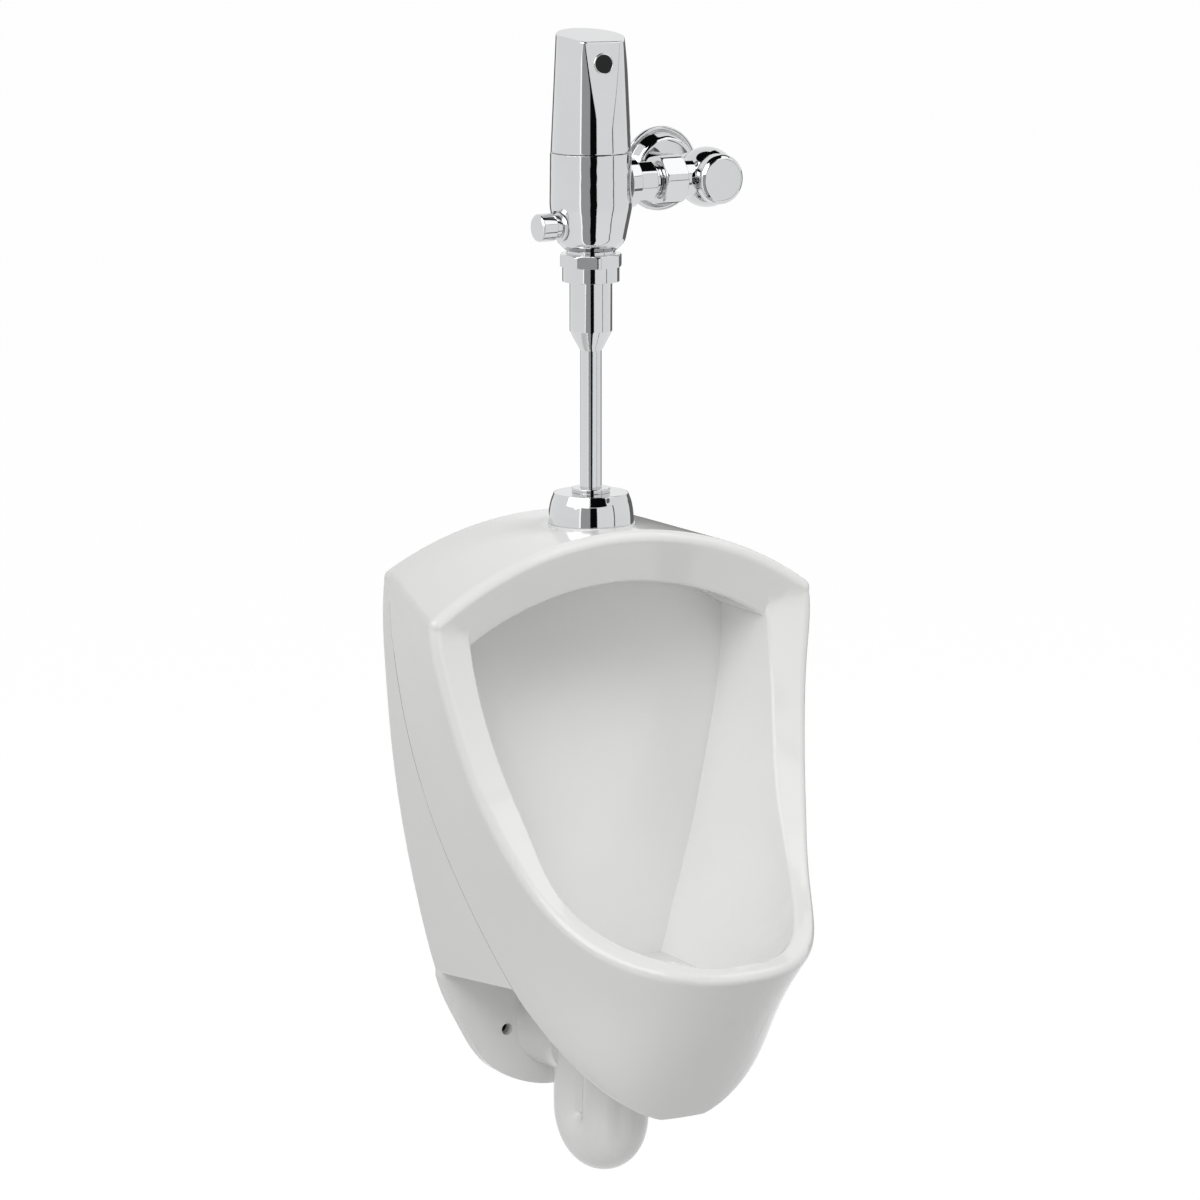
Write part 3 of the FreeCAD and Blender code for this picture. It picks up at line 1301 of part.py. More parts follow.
sphere = DOC.addObject("Part::Sphere", "stop_sphere")
sphere.setExpression("Radius", half(d.stop_sphere).text)
place(sphere, at_stop(ZERO))
thread_x = d.stop_nut_base + d.stop_nut_lip + d.stop_oring_wire + C * 2
screw_x = nut_end + d.stop_screw_inset
neck_r = half(d.stop_neck)
front_end = d.stop_front_reach + d.stop_cap_thread_length
chamber_back = d.stop_seat_setback
ball = cut("stop_ball", sphere, rod("stop_ball_front", d.stop_sphere, d.stop_sphere,
                                    at_stop(-d.stop_front_reach), FRONT))
keep("stop_body", cut(
    "stop", fuse(
        "stop_blank", ball,
        rod("stop_neck", neck_r, stop_x - nut_end - C, at_stop(ZERO), LEFT),
        rod("stop_neck_thread", thread_r, stop_x - thread_x, at_stop(ZERO), LEFT),
        rod("stop_front_thread", half(d.stop_cap_thread), front_end, at_stop(ZERO), FRONT),
        rod("stop_hub", half(d.stop_hub), d.stop_hub_reach, at_stop(ZERO), BACK)),
    rod("stop_chamber", half(d.stop_chamber), front_end + chamber_back * 2, at_stop(chamber_back),
        FRONT),
    rod("stop_seat", half(d.stop_seat_bore), d.stop_hub_reach, at_stop(ZERO), BACK),
    rod("stop_hub_thread", half(d.adapter_thread) + C, d.adapter_thread_length,
        at_stop(d.stop_hub_reach - d.adapter_thread_length), BACK),
    rod("stop_neck_bore", pipe_r + C, d.tailpiece_reach - thread_x + C, on_supply(thread_x), RIGHT),
    rod("stop_passage", bore, stop_x - d.tailpiece_reach, at_stop(ZERO), LEFT),
    rod("stop_screw_hole", half(d.stop_screw_diameter) + C, neck_r, on_supply(screw_x), FRONT)))
keep("stop_screw", rod("screw_stop", half(d.stop_screw_diameter), d.stop_screw_length,
                       (screw_x, pipe_r * -1.0 - d.tube_setback - SLIDE * 2, SUPPLY), FRONT))
washer_back = chamber_back - d.stop_travel
disc_back = washer_back - d.stop_washer_height
stem_back = disc_back - d.stop_disc_height
keep("stop_washer", rod("washer_stop", half(d.stop_washer_diameter), d.stop_washer_height,
                        at_stop(washer_back), FRONT))
keep("stop_disc", rod("disc_stop", half(d.stop_disc_diameter), d.stop_disc_height,
                      at_stop(disc_back), FRONT))
screw_r = half(d.stop_stem_diameter)
stem_front = stem_back - d.stop_stem_length
keep("stop_stem", cut(
    "stem_stop", rod("stem_stop_rod", screw_r, d.stop_stem_length, at_stop(stem_back), FRONT),
    block("stem_slot", d.stop_stem_diameter, d.stop_slot_depth, d.stop_slot_width,
          (stop_x - screw_r, stem_front - d.tube_setback,
           SUPPLY - half(d.stop_slot_width)))))
bonnet_back = -(front_end - d.bonnet_length)
keep("stop_bonnet", turned("bonnet", [
    (screw_r + d.stem_oring_wire + C * 2, ZERO), (half(d.stop_chamber) - C, ZERO),
    (half(d.stop_chamber) - C, d.bonnet_length), (half(d.bonnet_flange), d.bonnet_length),
    (half(d.bonnet_flange), d.bonnet_length + d.bonnet_flange_height),
    (screw_r + C, d.bonnet_length + d.bonnet_flange_height), (screw_r + C, d.stem_oring_depth),
    (screw_r + d.stem_oring_wire + C * 2, d.stem_oring_depth)], at_stop(bonnet_back), FRONT))
keep("stem_oring", o_ring("oring_stem", screw_r + half(d.stem_oring_wire) + C, d.stem_oring_wire,
                          at_stop(bonnet_back - half(d.stem_oring_depth)), FRONT))
cap_thread_r = half(d.stop_cap_thread) + SLIDE
keep("stop_cap", turned("cap_stop", [
    (cap_thread_r, ZERO), (half(d.stop_cap_diameter), ZERO),
    (half(d.stop_cap_diameter), d.stop_cap_length - d.stop_cap_bevel, d.nut_rounding),
    (half(d.stop_cap_face), d.stop_cap_length, d.nut_rounding), (ZERO, d.stop_cap_length),
    (ZERO, d.stop_cap_length - d.stop_cap_wall),
    (cap_thread_r, d.stop_cap_length - d.stop_cap_wall)],
    at_stop(-d.stop_front_reach - d.stop_cap_gap), FRONT))

# Supply adapter from the wall into the stop, its cover tube and the wall flange.
adapter_run = d.tube_setback - d.stop_hub_reach
adapter_end = adapter_run + d.adapter_thread_length
wall_at = (stop_x, ZERO, SUPPLY)
keep("supply_adapter", turned("adapter", [
    (half(d.adapter_bore), ZERO), (half(d.adapter_diameter), ZERO),
    (half(d.adapter_diameter), adapter_run), (half(d.adapter_thread), adapter_run),
    (half(d.adapter_thread), adapter_end), (half(d.adapter_stop_bore), adapter_end),
    (half(d.adapter_stop_bore), d.adapter_socket), (half(d.adapter_bore), d.adapter_socket)],
    wall_at, FRONT))
keep("cover_tube", ring("tube_cover", half(d.cover_tube_diameter),
                        half(d.cover_tube_diameter) - d.cover_tube_wall, adapter_run - SLIDE,
                        wall_at, FRONT))
flange_r = half(d.flange_diameter)
dome_r = half(d.flange_dome)
hole_r = half(d.cover_tube_diameter) + SLIDE
keep("wall_flange", turned("flange", [
    (flange_r - d.flange_wall, ZERO), (flange_r, ZERO), (flange_r, d.flange_brim),
    (dome_r, d.flange_depth, d.flange_rounding), (hole_r, d.flange_depth),
    (hole_r, d.flange_depth - d.flange_wall),
    (dome_r - half(d.flange_wall), d.flange_depth - d.flange_wall,
     d.flange_rounding - d.flange_wall), (flange_r - d.flange_wall, d.flange_brim - d.flange_wall)],
    wall_at, FRONT))

DOC.recompute()
for thing in DOC.Objects:
    if "Invalid" in thing.State or "Error" in thing.State:
        raise RuntimeError("%s did not build: %s" % (thing.Label, thing.State))
for node, thing in PARTS.items():
    shape = thing.Shape
    if shape.isNull() or not shape.isValid() or shape.Volume <= 0:
        raise RuntimeError("%s has no sound shape" % node)
os.makedirs("parts", exist_ok=True)
for node, thing in PARTS.items():
    thing.Shape.exportStep("parts/%s.step" % node)
    print("%-20s %10.0f mm3 %d solid" % (node, thing.Shape.Volume, len(thing.Shape.Solids)))
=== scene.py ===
"""Looks of a wall-hung china urinal with a chrome sensor flush valve.

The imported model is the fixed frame, in metres: the wall is Y = 0 and the front faces -Y. Each
sub-assembly is a class that holds its sizes in millimetres, and builds and dresses its pieces.
"""

from __future__ import annotations

import json
import logging
from dataclasses import dataclass, field
from enum import Enum
from typing import Any

import bmesh
import bpy
import numpy as np
from mathutils import Matrix, Vector

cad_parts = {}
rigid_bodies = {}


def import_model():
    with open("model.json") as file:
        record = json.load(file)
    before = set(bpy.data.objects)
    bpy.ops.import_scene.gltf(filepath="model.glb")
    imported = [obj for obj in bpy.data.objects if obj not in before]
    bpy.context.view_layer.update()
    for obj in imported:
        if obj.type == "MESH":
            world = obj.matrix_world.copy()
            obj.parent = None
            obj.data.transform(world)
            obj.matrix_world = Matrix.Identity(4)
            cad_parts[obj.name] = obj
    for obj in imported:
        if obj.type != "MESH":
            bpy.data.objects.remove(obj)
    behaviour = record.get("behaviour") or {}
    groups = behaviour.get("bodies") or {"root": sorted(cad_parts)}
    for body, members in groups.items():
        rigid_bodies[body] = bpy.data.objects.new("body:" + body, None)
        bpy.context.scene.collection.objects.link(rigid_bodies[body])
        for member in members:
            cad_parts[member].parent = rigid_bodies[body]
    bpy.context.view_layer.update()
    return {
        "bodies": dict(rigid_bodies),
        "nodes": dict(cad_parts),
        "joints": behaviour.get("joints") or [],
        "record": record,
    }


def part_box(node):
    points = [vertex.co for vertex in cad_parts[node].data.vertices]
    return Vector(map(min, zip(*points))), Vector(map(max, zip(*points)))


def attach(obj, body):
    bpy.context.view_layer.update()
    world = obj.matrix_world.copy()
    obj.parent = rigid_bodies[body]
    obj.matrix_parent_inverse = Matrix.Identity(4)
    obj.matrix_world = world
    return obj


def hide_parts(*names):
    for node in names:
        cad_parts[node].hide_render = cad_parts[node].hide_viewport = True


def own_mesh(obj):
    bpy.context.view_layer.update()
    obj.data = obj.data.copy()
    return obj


LOG = logging.getLogger("urinal")
MM = 0.001
# Metres within which points count as one: in the model's triangles, and in new surfaces.
WELD = 0.00001
JOIN = 0.000002
# Colour sockets of a Mix node, which come after its sockets for numbers and vectors.
MIX_A, MIX_B, MIX_RESULT = 6, 7, 2
# Setbacks of rounded corners in millimetres, from a barely broken edge to a full one.
HAIR, CRISP, EASED, SOFT, FULL = 0.1, 0.2, 0.3, 0.4, 0.5


class Slot(Enum):
    """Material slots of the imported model."""

    CHINA = "vitreous_china"
    CHROME = "polished_chrome"
    BRASS = "cast_brass"
    RUBBER = "black_rubber"
    STEEL = "stainless_steel"
    ZINC = "zinc_steel"
    PLASTIC = "moulded_plastic"
    LENS = "black_lens"
    BOARD = "green_board"
    CELL = "battery_wrap"


def linear(hex_colour: str) -> tuple[float, float, float, float]:
    """Turn an sRGB hex colour into linear light.

    Args:
        hex_colour: Six hex digits, with or without a leading hash.

    Returns:
        Linear red, green, blue and an alpha of 1.
    """
    digits = hex_colour.lstrip("#")
    srgb = np.array([int(digits[i:i + 2], 16) for i in (0, 2, 4)]) / 255.0
    light = np.where(srgb <= 0.04045, srgb / 12.92, ((srgb + 0.055) / 1.055) ** 2.4)
    return (*(float(c) for c in light), 1.0)


def add_node(tree: bpy.types.NodeTree, kind: str, inputs: dict[Any, Any] | None = None,
             **settings: Any) -> bpy.types.Node:
    """Add a node, set its properties, and set or link its inputs.

    Args:
        tree: Node tree that gets the node.
        kind: Blender's type name of the node.
        inputs: Input name or number to a value, or to a socket that is linked to it.
        settings: Properties of the node itself.

    Returns:
        The new node.
    """
    node = tree.nodes.new(kind)
    for name, value in settings.items():
        setattr(node, name, value)
    for name, value in (inputs or {}).items():
        socket = node.inputs[name]
        if isinstance(value, bpy.types.NodeSocket):
            tree.links.new(value, socket)
        else:
            socket.default_value = value
    return node


def node_material(name: str) -> tuple[bpy.types.Material, bpy.types.NodeTree]:
    """Make a material without nodes.

    Args:
        name: Name of the material.

    Returns:
        The material and its empty node tree.
    """
    material = bpy.data.materials.new(name)
    material.use_nodes = True
    material.node_tree.nodes.clear()
    return material, material.node_tree


@dataclass(frozen=True)
class SideBand:
    """A band along a node's sides: between two heights in metres, facing out along X by a share."""

    low: float
    high: float
    facing: float

    def keep(self, tree: bpy.types.NodeTree, share: Any, at: Any, normal: bpy.types.NodeSocket,
             *tests: tuple[Any, Any]) -> bpy.types.NodeSocket:
        """Keep a share on the band only.

        Args:
            tree: Node tree that gets the nodes.
            share: Share to keep, as a value or a socket.
            at: Sockets of X, Y and Z.
            normal: Socket of the surface's normal.
            tests: Further pairs of values or sockets, of which the first has to be greater.

        Returns:
            A socket with the share where every test holds, and 0 elsewhere.
        """
        sideways = add_node(tree, "ShaderNodeSeparateXYZ", {0: normal}).outputs[0]
        side = add_node(tree, "ShaderNodeMath", {0: at[0]}, operation="SIGN").outputs[0]
        outward = add_node(tree, "ShaderNodeMath", {0: side, 1: sideways}, operation="MULTIPLY")
        for more, less in ((outward.outputs[0], self.facing), (at[2], self.low),
                           (self.high, at[2]), *tests):
            test = add_node(tree, "ShaderNodeMath", {0: more, 1: less}, operation="GREATER_THAN")
            share = add_node(tree, "ShaderNodeMath", {0: share, 1: test.outputs[0]},
                             operation="MULTIPLY").outputs[0]
        return share


@dataclass(frozen=True)
class PaintedCreaseShade:
    """Painted shade: a thin grey line along the crease in the china's sides.

    In side view it is the parabola y = start + slope * z + bend * z * z, in metres.
    """

    start: float = -0.2156
    slope: float = 0.9545
    bend: float = -1.1342
    width_mm: float = 0.9
    band: SideBand = SideBand(0.07, 0.41, 0.5)
    # Colour of the painted shade.
    shade: str = "#979796"

    def tint(self, tree: bpy.types.NodeTree, place: bpy.types.NodeSocket,
             colour: bpy.types.NodeSocket) -> bpy.types.NodeSocket:
        """Lay the painted shade line over a colour.

        Args:
            tree: Material's node tree.
            place: Object coordinates.
            colour: Colour under the line.

        Returns:
            A socket with both.
        """
        at = add_node(tree, "ShaderNodeSeparateXYZ", {0: place}).outputs
        normal = add_node(tree, "ShaderNodeNewGeometry").outputs["Normal"]
        rise = add_node(tree, "ShaderNodeMath", {0: at[2], 1: self.bend, 2: self.slope},
                        operation="MULTIPLY_ADD")
        line = add_node(tree, "ShaderNodeMath", {0: rise.outputs[0], 1: at[2], 2: self.start},
                        operation="MULTIPLY_ADD")
        near = add_node(tree, "ShaderNodeMath",
                        {0: at[1], 1: line.outputs[0], 2: self.width_mm * MM / 2},
                        operation="COMPARE")
        share = self.band.keep(tree, near.outputs[0], at, normal)
        return add_node(tree, "ShaderNodeMix",
                        {0: share, MIX_A: colour, MIX_B: linear(self.shade)},
                        data_type="RGBA").outputs[MIX_RESULT]


# Octaves of noise in a finish's tint, grain and wave, and the range of grain noise that is used.
TINT_DETAIL, GRAIN_DETAIL, WAVE_DETAIL = 2.0, 3.0, 1.0
GRAIN_LOW, GRAIN_HIGH = 0.3, 0.7
LEAST_ROUGHNESS = 0.01
BEVEL_SAMPLES = 6


@dataclass(frozen=True)
class Finish:
    """A material by what it is made of and how its surface was made.

    A broad tint varies the colour, a fine grain varies the roughness and a wave gives a slight
    bump, each at a size in millimetres on Object coordinates. Edges may look rounded by a radius.
    """

    name: str
    colour: str
    shade: str
    roughness: float
    metallic: float = 0.0
    ior: float = 1.5
    grain_mm: float = 2.0
    grain_spread: float = 0.04
    wave_mm: float = 12.0
    wave_depth_mm: float = 0.0
    tint_mm: float = 60.0
    edge_mm: float = 0.0
    # Painted shade laid along a crease, if any.
    line: PaintedCreaseShade | None = None

    def build(self) -> bpy.types.Material:
        """Make the node material.

        Returns:
            The material, ready for a slot.
        """
        material, tree = node_material(self.name)
        place = add_node(tree, "ShaderNodeTexCoord").outputs["Object"]
        tint = add_node(tree, "ShaderNodeTexNoise", {
            "Vector": place, "Scale": 1.0 / (self.tint_mm * MM), "Detail": TINT_DETAIL})
        colour = add_node(tree, "ShaderNodeMix", {
            0: tint.outputs["Fac"], MIX_A: linear(self.colour), MIX_B: linear(self.shade)},
            data_type="RGBA").outputs[MIX_RESULT]
        if self.line:
            colour = self.line.tint(tree, place, colour)
        grain = add_node(tree, "ShaderNodeTexNoise", {
            "Vector": place, "Scale": 1.0 / (self.grain_mm * MM), "Detail": GRAIN_DETAIL})
        rough = add_node(tree, "ShaderNodeMapRange", {
            "Value": grain.outputs["Fac"], "From Min": GRAIN_LOW, "From Max": GRAIN_HIGH,
            "To Min": max(self.roughness - self.grain_spread, LEAST_ROUGHNESS),
            "To Max": self.roughness + self.grain_spread})
        shader = add_node(tree, "ShaderNodeBsdfPrincipled", {
            "Base Color": colour, "Roughness": rough.outputs["Result"], "Metallic": self.metallic})
        if not self.metallic:
            shader.inputs["IOR"].default_value = self.ior
        if self.edge_mm:
            edge = add_node(tree, "ShaderNodeBevel", {"Radius": self.edge_mm * MM},
                            samples=BEVEL_SAMPLES)
            tree.links.new(edge.outputs["Normal"], shader.inputs["Normal"])
        if self.wave_depth_mm:
            wave = add_node(tree, "ShaderNodeTexNoise", {
                "Vector": place, "Scale": 1.0 / (self.wave_mm * MM), "Detail": WAVE_DETAIL})
            bump = add_node(tree, "ShaderNodeBump", {
                "Height": wave.outputs["Fac"], "Strength": 1.0,
                "Distance": self.wave_depth_mm * MM})
            tree.links.new(bump.outputs["Normal"], shader.inputs["Normal"])
        add_node(tree, "ShaderNodeOutputMaterial", {"Surface": shader.outputs["BSDF"]})
        return material


FINISHES: dict[Slot, Finish] = {
    # Vitreous china under a clear white glaze: deep gloss, with the faint waves of a fired glaze
    # and a line of painted shade along the side crease.
    Slot.CHINA: Finish("glazed_vitreous_china", "#f3f3f2", "#eeeeed", 0.06, grain_spread=0.015,
                       grain_mm=4.0, wave_mm=45.0, wave_depth_mm=0.08, tint_mm=180.0,
                       line=PaintedCreaseShade()),
    # Bright nickel-chromium plate on polished brass: near mirror, a trace of polishing haze.
    Slot.CHROME: Finish("bright_chrome_plate", "#d3d4d5", "#cdcecf", 0.03, metallic=1.0,
                        grain_mm=1.5, grain_spread=0.012, tint_mm=40.0, edge_mm=0.8),
    # Red brass, cast and then turned: warm, slightly dull, fine casting grain.
    Slot.BRASS: Finish("turned_red_brass", "#c9a45c", "#b38a45", 0.32, metallic=1.0,
                       grain_mm=1.2, grain_spread=0.08, wave_mm=3.0, wave_depth_mm=0.02),
    # Moulded nitrile rubber: matte black with a dusty bloom.
    Slot.RUBBER: Finish("moulded_nitrile_rubber", "#1c1c1d", "#262627", 0.62, grain_mm=1.0,
                        grain_spread=0.08, wave_mm=2.0, wave_depth_mm=0.03),
    # Pressed stainless steel with a satin grain.
    Slot.STEEL: Finish("satin_stainless_steel", "#b9babb", "#a6a7a9", 0.28, metallic=1.0,
                       grain_mm=0.8, grain_spread=0.08),
    # Pressed steel with bright zinc plate: pale, faintly spangled.
    Slot.ZINC: Finish("zinc_plated_steel", "#b4b8bc", "#9da3a9", 0.36, metallic=1.0,
                      grain_mm=3.0, grain_spread=0.1),
    # Glass-filled acetal, moulded: dark, soft gloss.
    Slot.PLASTIC: Finish("moulded_acetal", "#343437", "#2a2a2d", 0.42, grain_mm=1.2,
                         grain_spread=0.08, wave_mm=2.5, wave_depth_mm=0.02),
    # Infrared-clear acrylic: black to the eye, polished.
    Slot.LENS: Finish("infrared_black_acrylic", "#0b0b0c", "#0f0f10", 0.1, ior=1.33,
                      grain_mm=2.0, grain_spread=0.03),
    # Glass-epoxy laminate under green solder mask.
    Slot.BOARD: Finish("green_solder_mask", "#1c5a35", "#17492b", 0.38, grain_mm=1.5,
                       grain_spread=0.08, wave_mm=4.0, wave_depth_mm=0.02),
    # Steel can in a shrunk film sleeve.
    Slot.CELL: Finish("shrunk_film_sleeve", "#2c2d31", "#232427", 0.3, grain_mm=2.0,
                      grain_spread=0.06),
}


# Edges that turn by more than this many degrees stay sharp.
SHARP_FROM = 20.0
SHARP_FROM_BY_NODE: dict[str, float] = {"china_body": 30.0}


@dataclass(frozen=True)
class Crease:
    """Where a node keeps a faint crease: on its sides, behind a slanted line in side view.

    The line is y = slope * z + offset in metres, and the crease's edges turn by more than an
    angle in degrees.
    """

    angle: float = 3.0
    slope: float = 0.526
    offset: float = -0.269
    band: SideBand = SideBand(0.055, 0.405, 0.85)

    def test(self, tree: bpy.types.NodeTree,
             turned_by: bpy.types.NodeSocket) -> bpy.types.NodeSocket:
        """Tell the crease's edges from the rest.

        Args:
            tree: Geometry group that gets the nodes.
            turned_by: Angle between the faces at an edge.

        Returns:
            A socket that is true on the crease.
        """
        place = add_node(tree, "GeometryNodeInputPosition").outputs[0]
        at = add_node(tree, "ShaderNodeSeparateXYZ", {0: place}).outputs
        normal = add_node(tree, "GeometryNodeInputNormal").outputs[0]
        line = add_node(tree, "ShaderNodeMath", {0: at[2], 1: self.slope, 2: self.offset},
                        operation="MULTIPLY_ADD")
        return self.band.keep(tree, 1.0, at, normal, (at[1], line.outputs[0]),
                              (turned_by, float(np.radians(self.angle))))


CREASES: dict[str, Crease] = {"china_body": Crease()}


def smoothing_group(angle_degrees: float, crease: Crease | None = None) -> bpy.types.NodeTree:
    """Make a geometry group that welds loose triangles and shades them smooth below an angle.

    Args:
        angle_degrees: Edges that turn by more than this stay sharp.
        crease: Where fainter edges stay sharp too, if anywhere.

    Returns:
        The geometry node tree.
    """
    tree = bpy.data.node_groups.new("weld_and_smooth", "GeometryNodeTree")
    tree.interface.new_socket("Geometry", in_out="INPUT", socket_type="NodeSocketGeometry")
    tree.interface.new_socket("Geometry", in_out="OUTPUT", socket_type="NodeSocketGeometry")
    start = add_node(tree, "NodeGroupInput")
    weld = add_node(tree, "GeometryNodeMergeByDistance",
                    {"Geometry": start.outputs[0], "Distance": WELD})
    faces = add_node(tree, "GeometryNodeSetShadeSmooth",
                     {"Geometry": weld.outputs[0], "Shade Smooth": True}, domain="FACE")
    edge = add_node(tree, "GeometryNodeInputMeshEdgeAngle")
    below = add_node(tree, "FunctionNodeCompare",
                     {"A": edge.outputs["Unsigned Angle"], "B": float(np.radians(angle_degrees))},
                     data_type="FLOAT", operation="LESS_EQUAL")
    smooth = below.outputs[0]
    if crease:
        sharp = crease.test(tree, edge.outputs["Unsigned Angle"])
        smooth = add_node(tree, "ShaderNodeMath", {0: smooth, 1: sharp},
                          operation="SUBTRACT").outputs[0]
    edges = add_node(tree, "GeometryNodeSetShadeSmooth",
                     {"Geometry": faces.outputs[0], "Shade Smooth": smooth}, domain="EDGE")
    add_node(tree, "NodeGroupOutput", {0: edges.outputs[0]})
    return tree


def grid_mesh(name: str, points: np.ndarray, ring: bool = False,
              closed: bool = False) -> bpy.types.Mesh:
    """Make a mesh of a surface given as points over two parameters.

    Args:
        name: Name of the mesh.
        points: Array of rows by columns by three coordinates.
        ring: Whether the last column joins the first.
        closed: Whether the last row joins the first.

    Returns:
        A mesh of quads between neighbouring rows and columns.
    """
    rows, columns = points.shape[:2]
    at = np.arange(rows * columns).reshape(rows, columns)
    at = np.concatenate((at, at[:, :1]), axis=1) if ring else at
    at = np.concatenate((at, at[:1]), axis=0) if closed else at
    quads = np.stack((at[:-1, :-1], at[:-1, 1:], at[1:, 1:], at[1:, :-1]), axis=-1).reshape(-1, 4)
    mesh = bpy.data.meshes.new(name)
    mesh.from_pydata(points.reshape(-1, 3).tolist(), [], quads.tolist())
    return mesh


def smooth_least(first: np.ndarray, second: np.ndarray, width: float) -> np.ndarray:
    """Take the lesser of two fields, rounded by a parabola where they cross.

    Args:
        first: One field.
        second: The other field.
        width: Difference of the two within which they are blended.

    Returns:
        The rounded lesser field.
    """
    share = np.clip(0.5 + 0.5 * (second - first) / width, 0.0, 1.0)
    return second + (first - second) * share - width * share * (1.0 - share)


# Corners of an outline: place along the axis, radius and setback of the rounding.
Corners = tuple[tuple[float, float, float], ...]
# A rounding takes at most this share of the shorter side at its corner.
SIDE_SHARE = 0.49


def rounded(corners: Corners, steps: int = 9) -> np.ndarray:
    """Round the corners of an outline that ends where it starts.

    Each corner becomes a parabola that leaves its two sides at the same distance from it, which
    is the setback.

    Args:
        corners: The outline's corners.
        steps: Points on each rounded corner.

    Returns:
        Array of points by place along the axis and radius.
    """
    table = np.array(corners)
    at = table[:, :2]
    before, after = np.roll(at, 1, axis=0) - at, np.roll(at, -1, axis=0) - at
    long_before = np.linalg.norm(before, axis=1, keepdims=True)
    long_after = np.linalg.norm(after, axis=1, keepdims=True)
    room = np.minimum(long_before, long_after) * SIDE_SHARE
    setback = np.minimum(table[:, 2:], room)
    start, end = at + before / long_before * setback, at + after / long_after * setback
    t = np.linspace(0.0, 1.0, steps)[None, :, None]
    curve = (1 - t) ** 2 * start[:, None] + 2 * t * (1 - t) * at[:, None] + t ** 2 * end[:, None]
    return curve.reshape(-1, 2)


@dataclass(frozen=True)
class Axis:
    """A line that pieces are turned about, with the direction of angle zero."""

    origin: tuple[float, float, float]
    along: tuple[float, float, float]
    zero: tuple[float, float, float]

    def points(self, place: np.ndarray, radius: np.ndarray, angle: np.ndarray) -> np.ndarray:
        """Place points by cylinder coordinates in millimetres.

        Args:
            place: Distance along the axis.
            radius: Distance from the axis.
            angle: Angle about it.

        Returns:
            Points in metres.
        """
        along, zero = np.array(self.along), np.array(self.zero)
        side = np.cross(along, zero)
        offset = (place[..., None] * along + (radius * np.cos(angle))[..., None] * zero
                  + (radius * np.sin(angle))[..., None] * side)
        return np.array(self.origin) + offset * MM


@dataclass(frozen=True)
class Flats:
    """Wrench flats on a turned piece: how many, across which size, and turned how far."""

    count: int
    across: float
    turn: float = 0.0
    edge: float = 0.35

    def radius(self, angle: np.ndarray) -> np.ndarray:
        """Give the distance of the flats from the axis at each angle.

        Args:
            angle: Angle about the axis.

        Returns:
            Half the size across flats over the cosine of the angle from the nearest flat.
        """
        step = 2.0 * np.pi / self.count
        off = (angle - np.radians(self.turn) + step / 2) % step - step / 2
        return self.across / 2 / np.cos(off)


def turned(axis: Axis, corners: Corners, flats: Flats | None = None,
           columns: int = 192) -> np.ndarray:
    """Turn a rounded outline about an axis, and cut flats on it.

    The radius is the outline's, or the flats' where they lie further in.

    Args:
        axis: Axis of the piece.
        corners: The outline's corners, in millimetres.
        flats: Wrench flats, if it has any.
        columns: Points around the axis.

    Returns:
        Grid of points in metres.
    """
    outline = rounded(corners)
    angle = np.arange(columns) * 2.0 * np.pi / columns
    turn, place = np.meshgrid(angle, outline[:, 0])
    radius = np.broadcast_to(outline[:, 1:], turn.shape)
    if flats:
        radius = smooth_least(radius, flats.radius(turn), flats.edge)
    return axis.points(place, radius, turn)


class Tone(Enum):
    """Tones of the matte cards around the chrome, as linear light."""

    BLACK = 0.004
    DARK = 0.16
    GREY = 0.42
    BRIGHT = 1.5
    GLARE = 3.0
    STRIP = 9.0


@dataclass(frozen=True)
class Card:
    """A matte card around the valve that shows only in gloss.

    It stands on an arc and runs on along the floor towards the valve. Angles are seen from above,
    in degrees to the right of the direction to the camera, and lengths are in metres.
    """

    name: str
    tone: Tone
    start: float
    end: float
    high: float = 1.9
    radius: float = 4.0
    inner: float = 3.99


@dataclass(frozen=True)
class Canopy:
    """A part of a wide dome over the valve that shows only in gloss, with angles in degrees.

    Start and end are angles to the right of the direction to the camera, low and high are
    angles above the level of the valve.
    """

    name: str
    tone: Tone
    start: float
    end: float
    low: float
    high: float


CANOPIES: tuple[Canopy, ...] = (
    Canopy("dome_top_black", Tone.BLACK, 0.0, 360.0, 60.0, 90.0),
    Canopy("dome_front_black", Tone.BLACK, -2.0, 48.0, 18.0, 60.0),
    Canopy("dome_back_black", Tone.BLACK, 118.0, 162.0, 38.0, 60.0),
    Canopy("dome_right_bright", Tone.BRIGHT, 50.0, 118.0, 27.0, 60.0),
    Canopy("dome_right_frame", Tone.DARK, 50.0, 118.0, 25.0, 27.0),
    Canopy("dome_left_glare", Tone.GLARE, -75.0, -6.0, 14.0, 58.0),
    Canopy("strip_left_glare", Tone.STRIP, -47.0, -40.0, 12.0, 58.0),
)

CARDS: tuple[Card, ...] = (
    Card("flag_black", Tone.BLACK, -2.0, 17.0, inner=0.5),
    Card("flag_grey", Tone.GREY, -27.5, -2.0, inner=0.5),
    Card("strip_bright", Tone.BRIGHT, -31.5, -27.5, inner=0.5),
    Card("strip_dark", Tone.DARK, 64.5, 68.0, inner=0.5),
    Card("backing", Tone.DARK, 132.0, 210.0, high=0.95),
)


@dataclass(frozen=True)
class SoftBox:
    """A square soft box: where it hangs, its side in metres and its power in watts."""

    name: str
    place: tuple[float, float, float]
    size: float
    power: float


SOFT_BOXES: tuple[SoftBox, ...] = (
    SoftBox("key_left", (-2.7, -1.9, 3.0), 2.0, 74.0),
    SoftBox("low_left", (-3.0, -1.5, 0.1), 1.2, 6.0),
    SoftBox("beside_camera", (-1.6, -3.4, 1.4), 2.0, 11.0),
    SoftBox("high_right", (2.2, -1.6, 3.0), 1.8, 55.0),
)


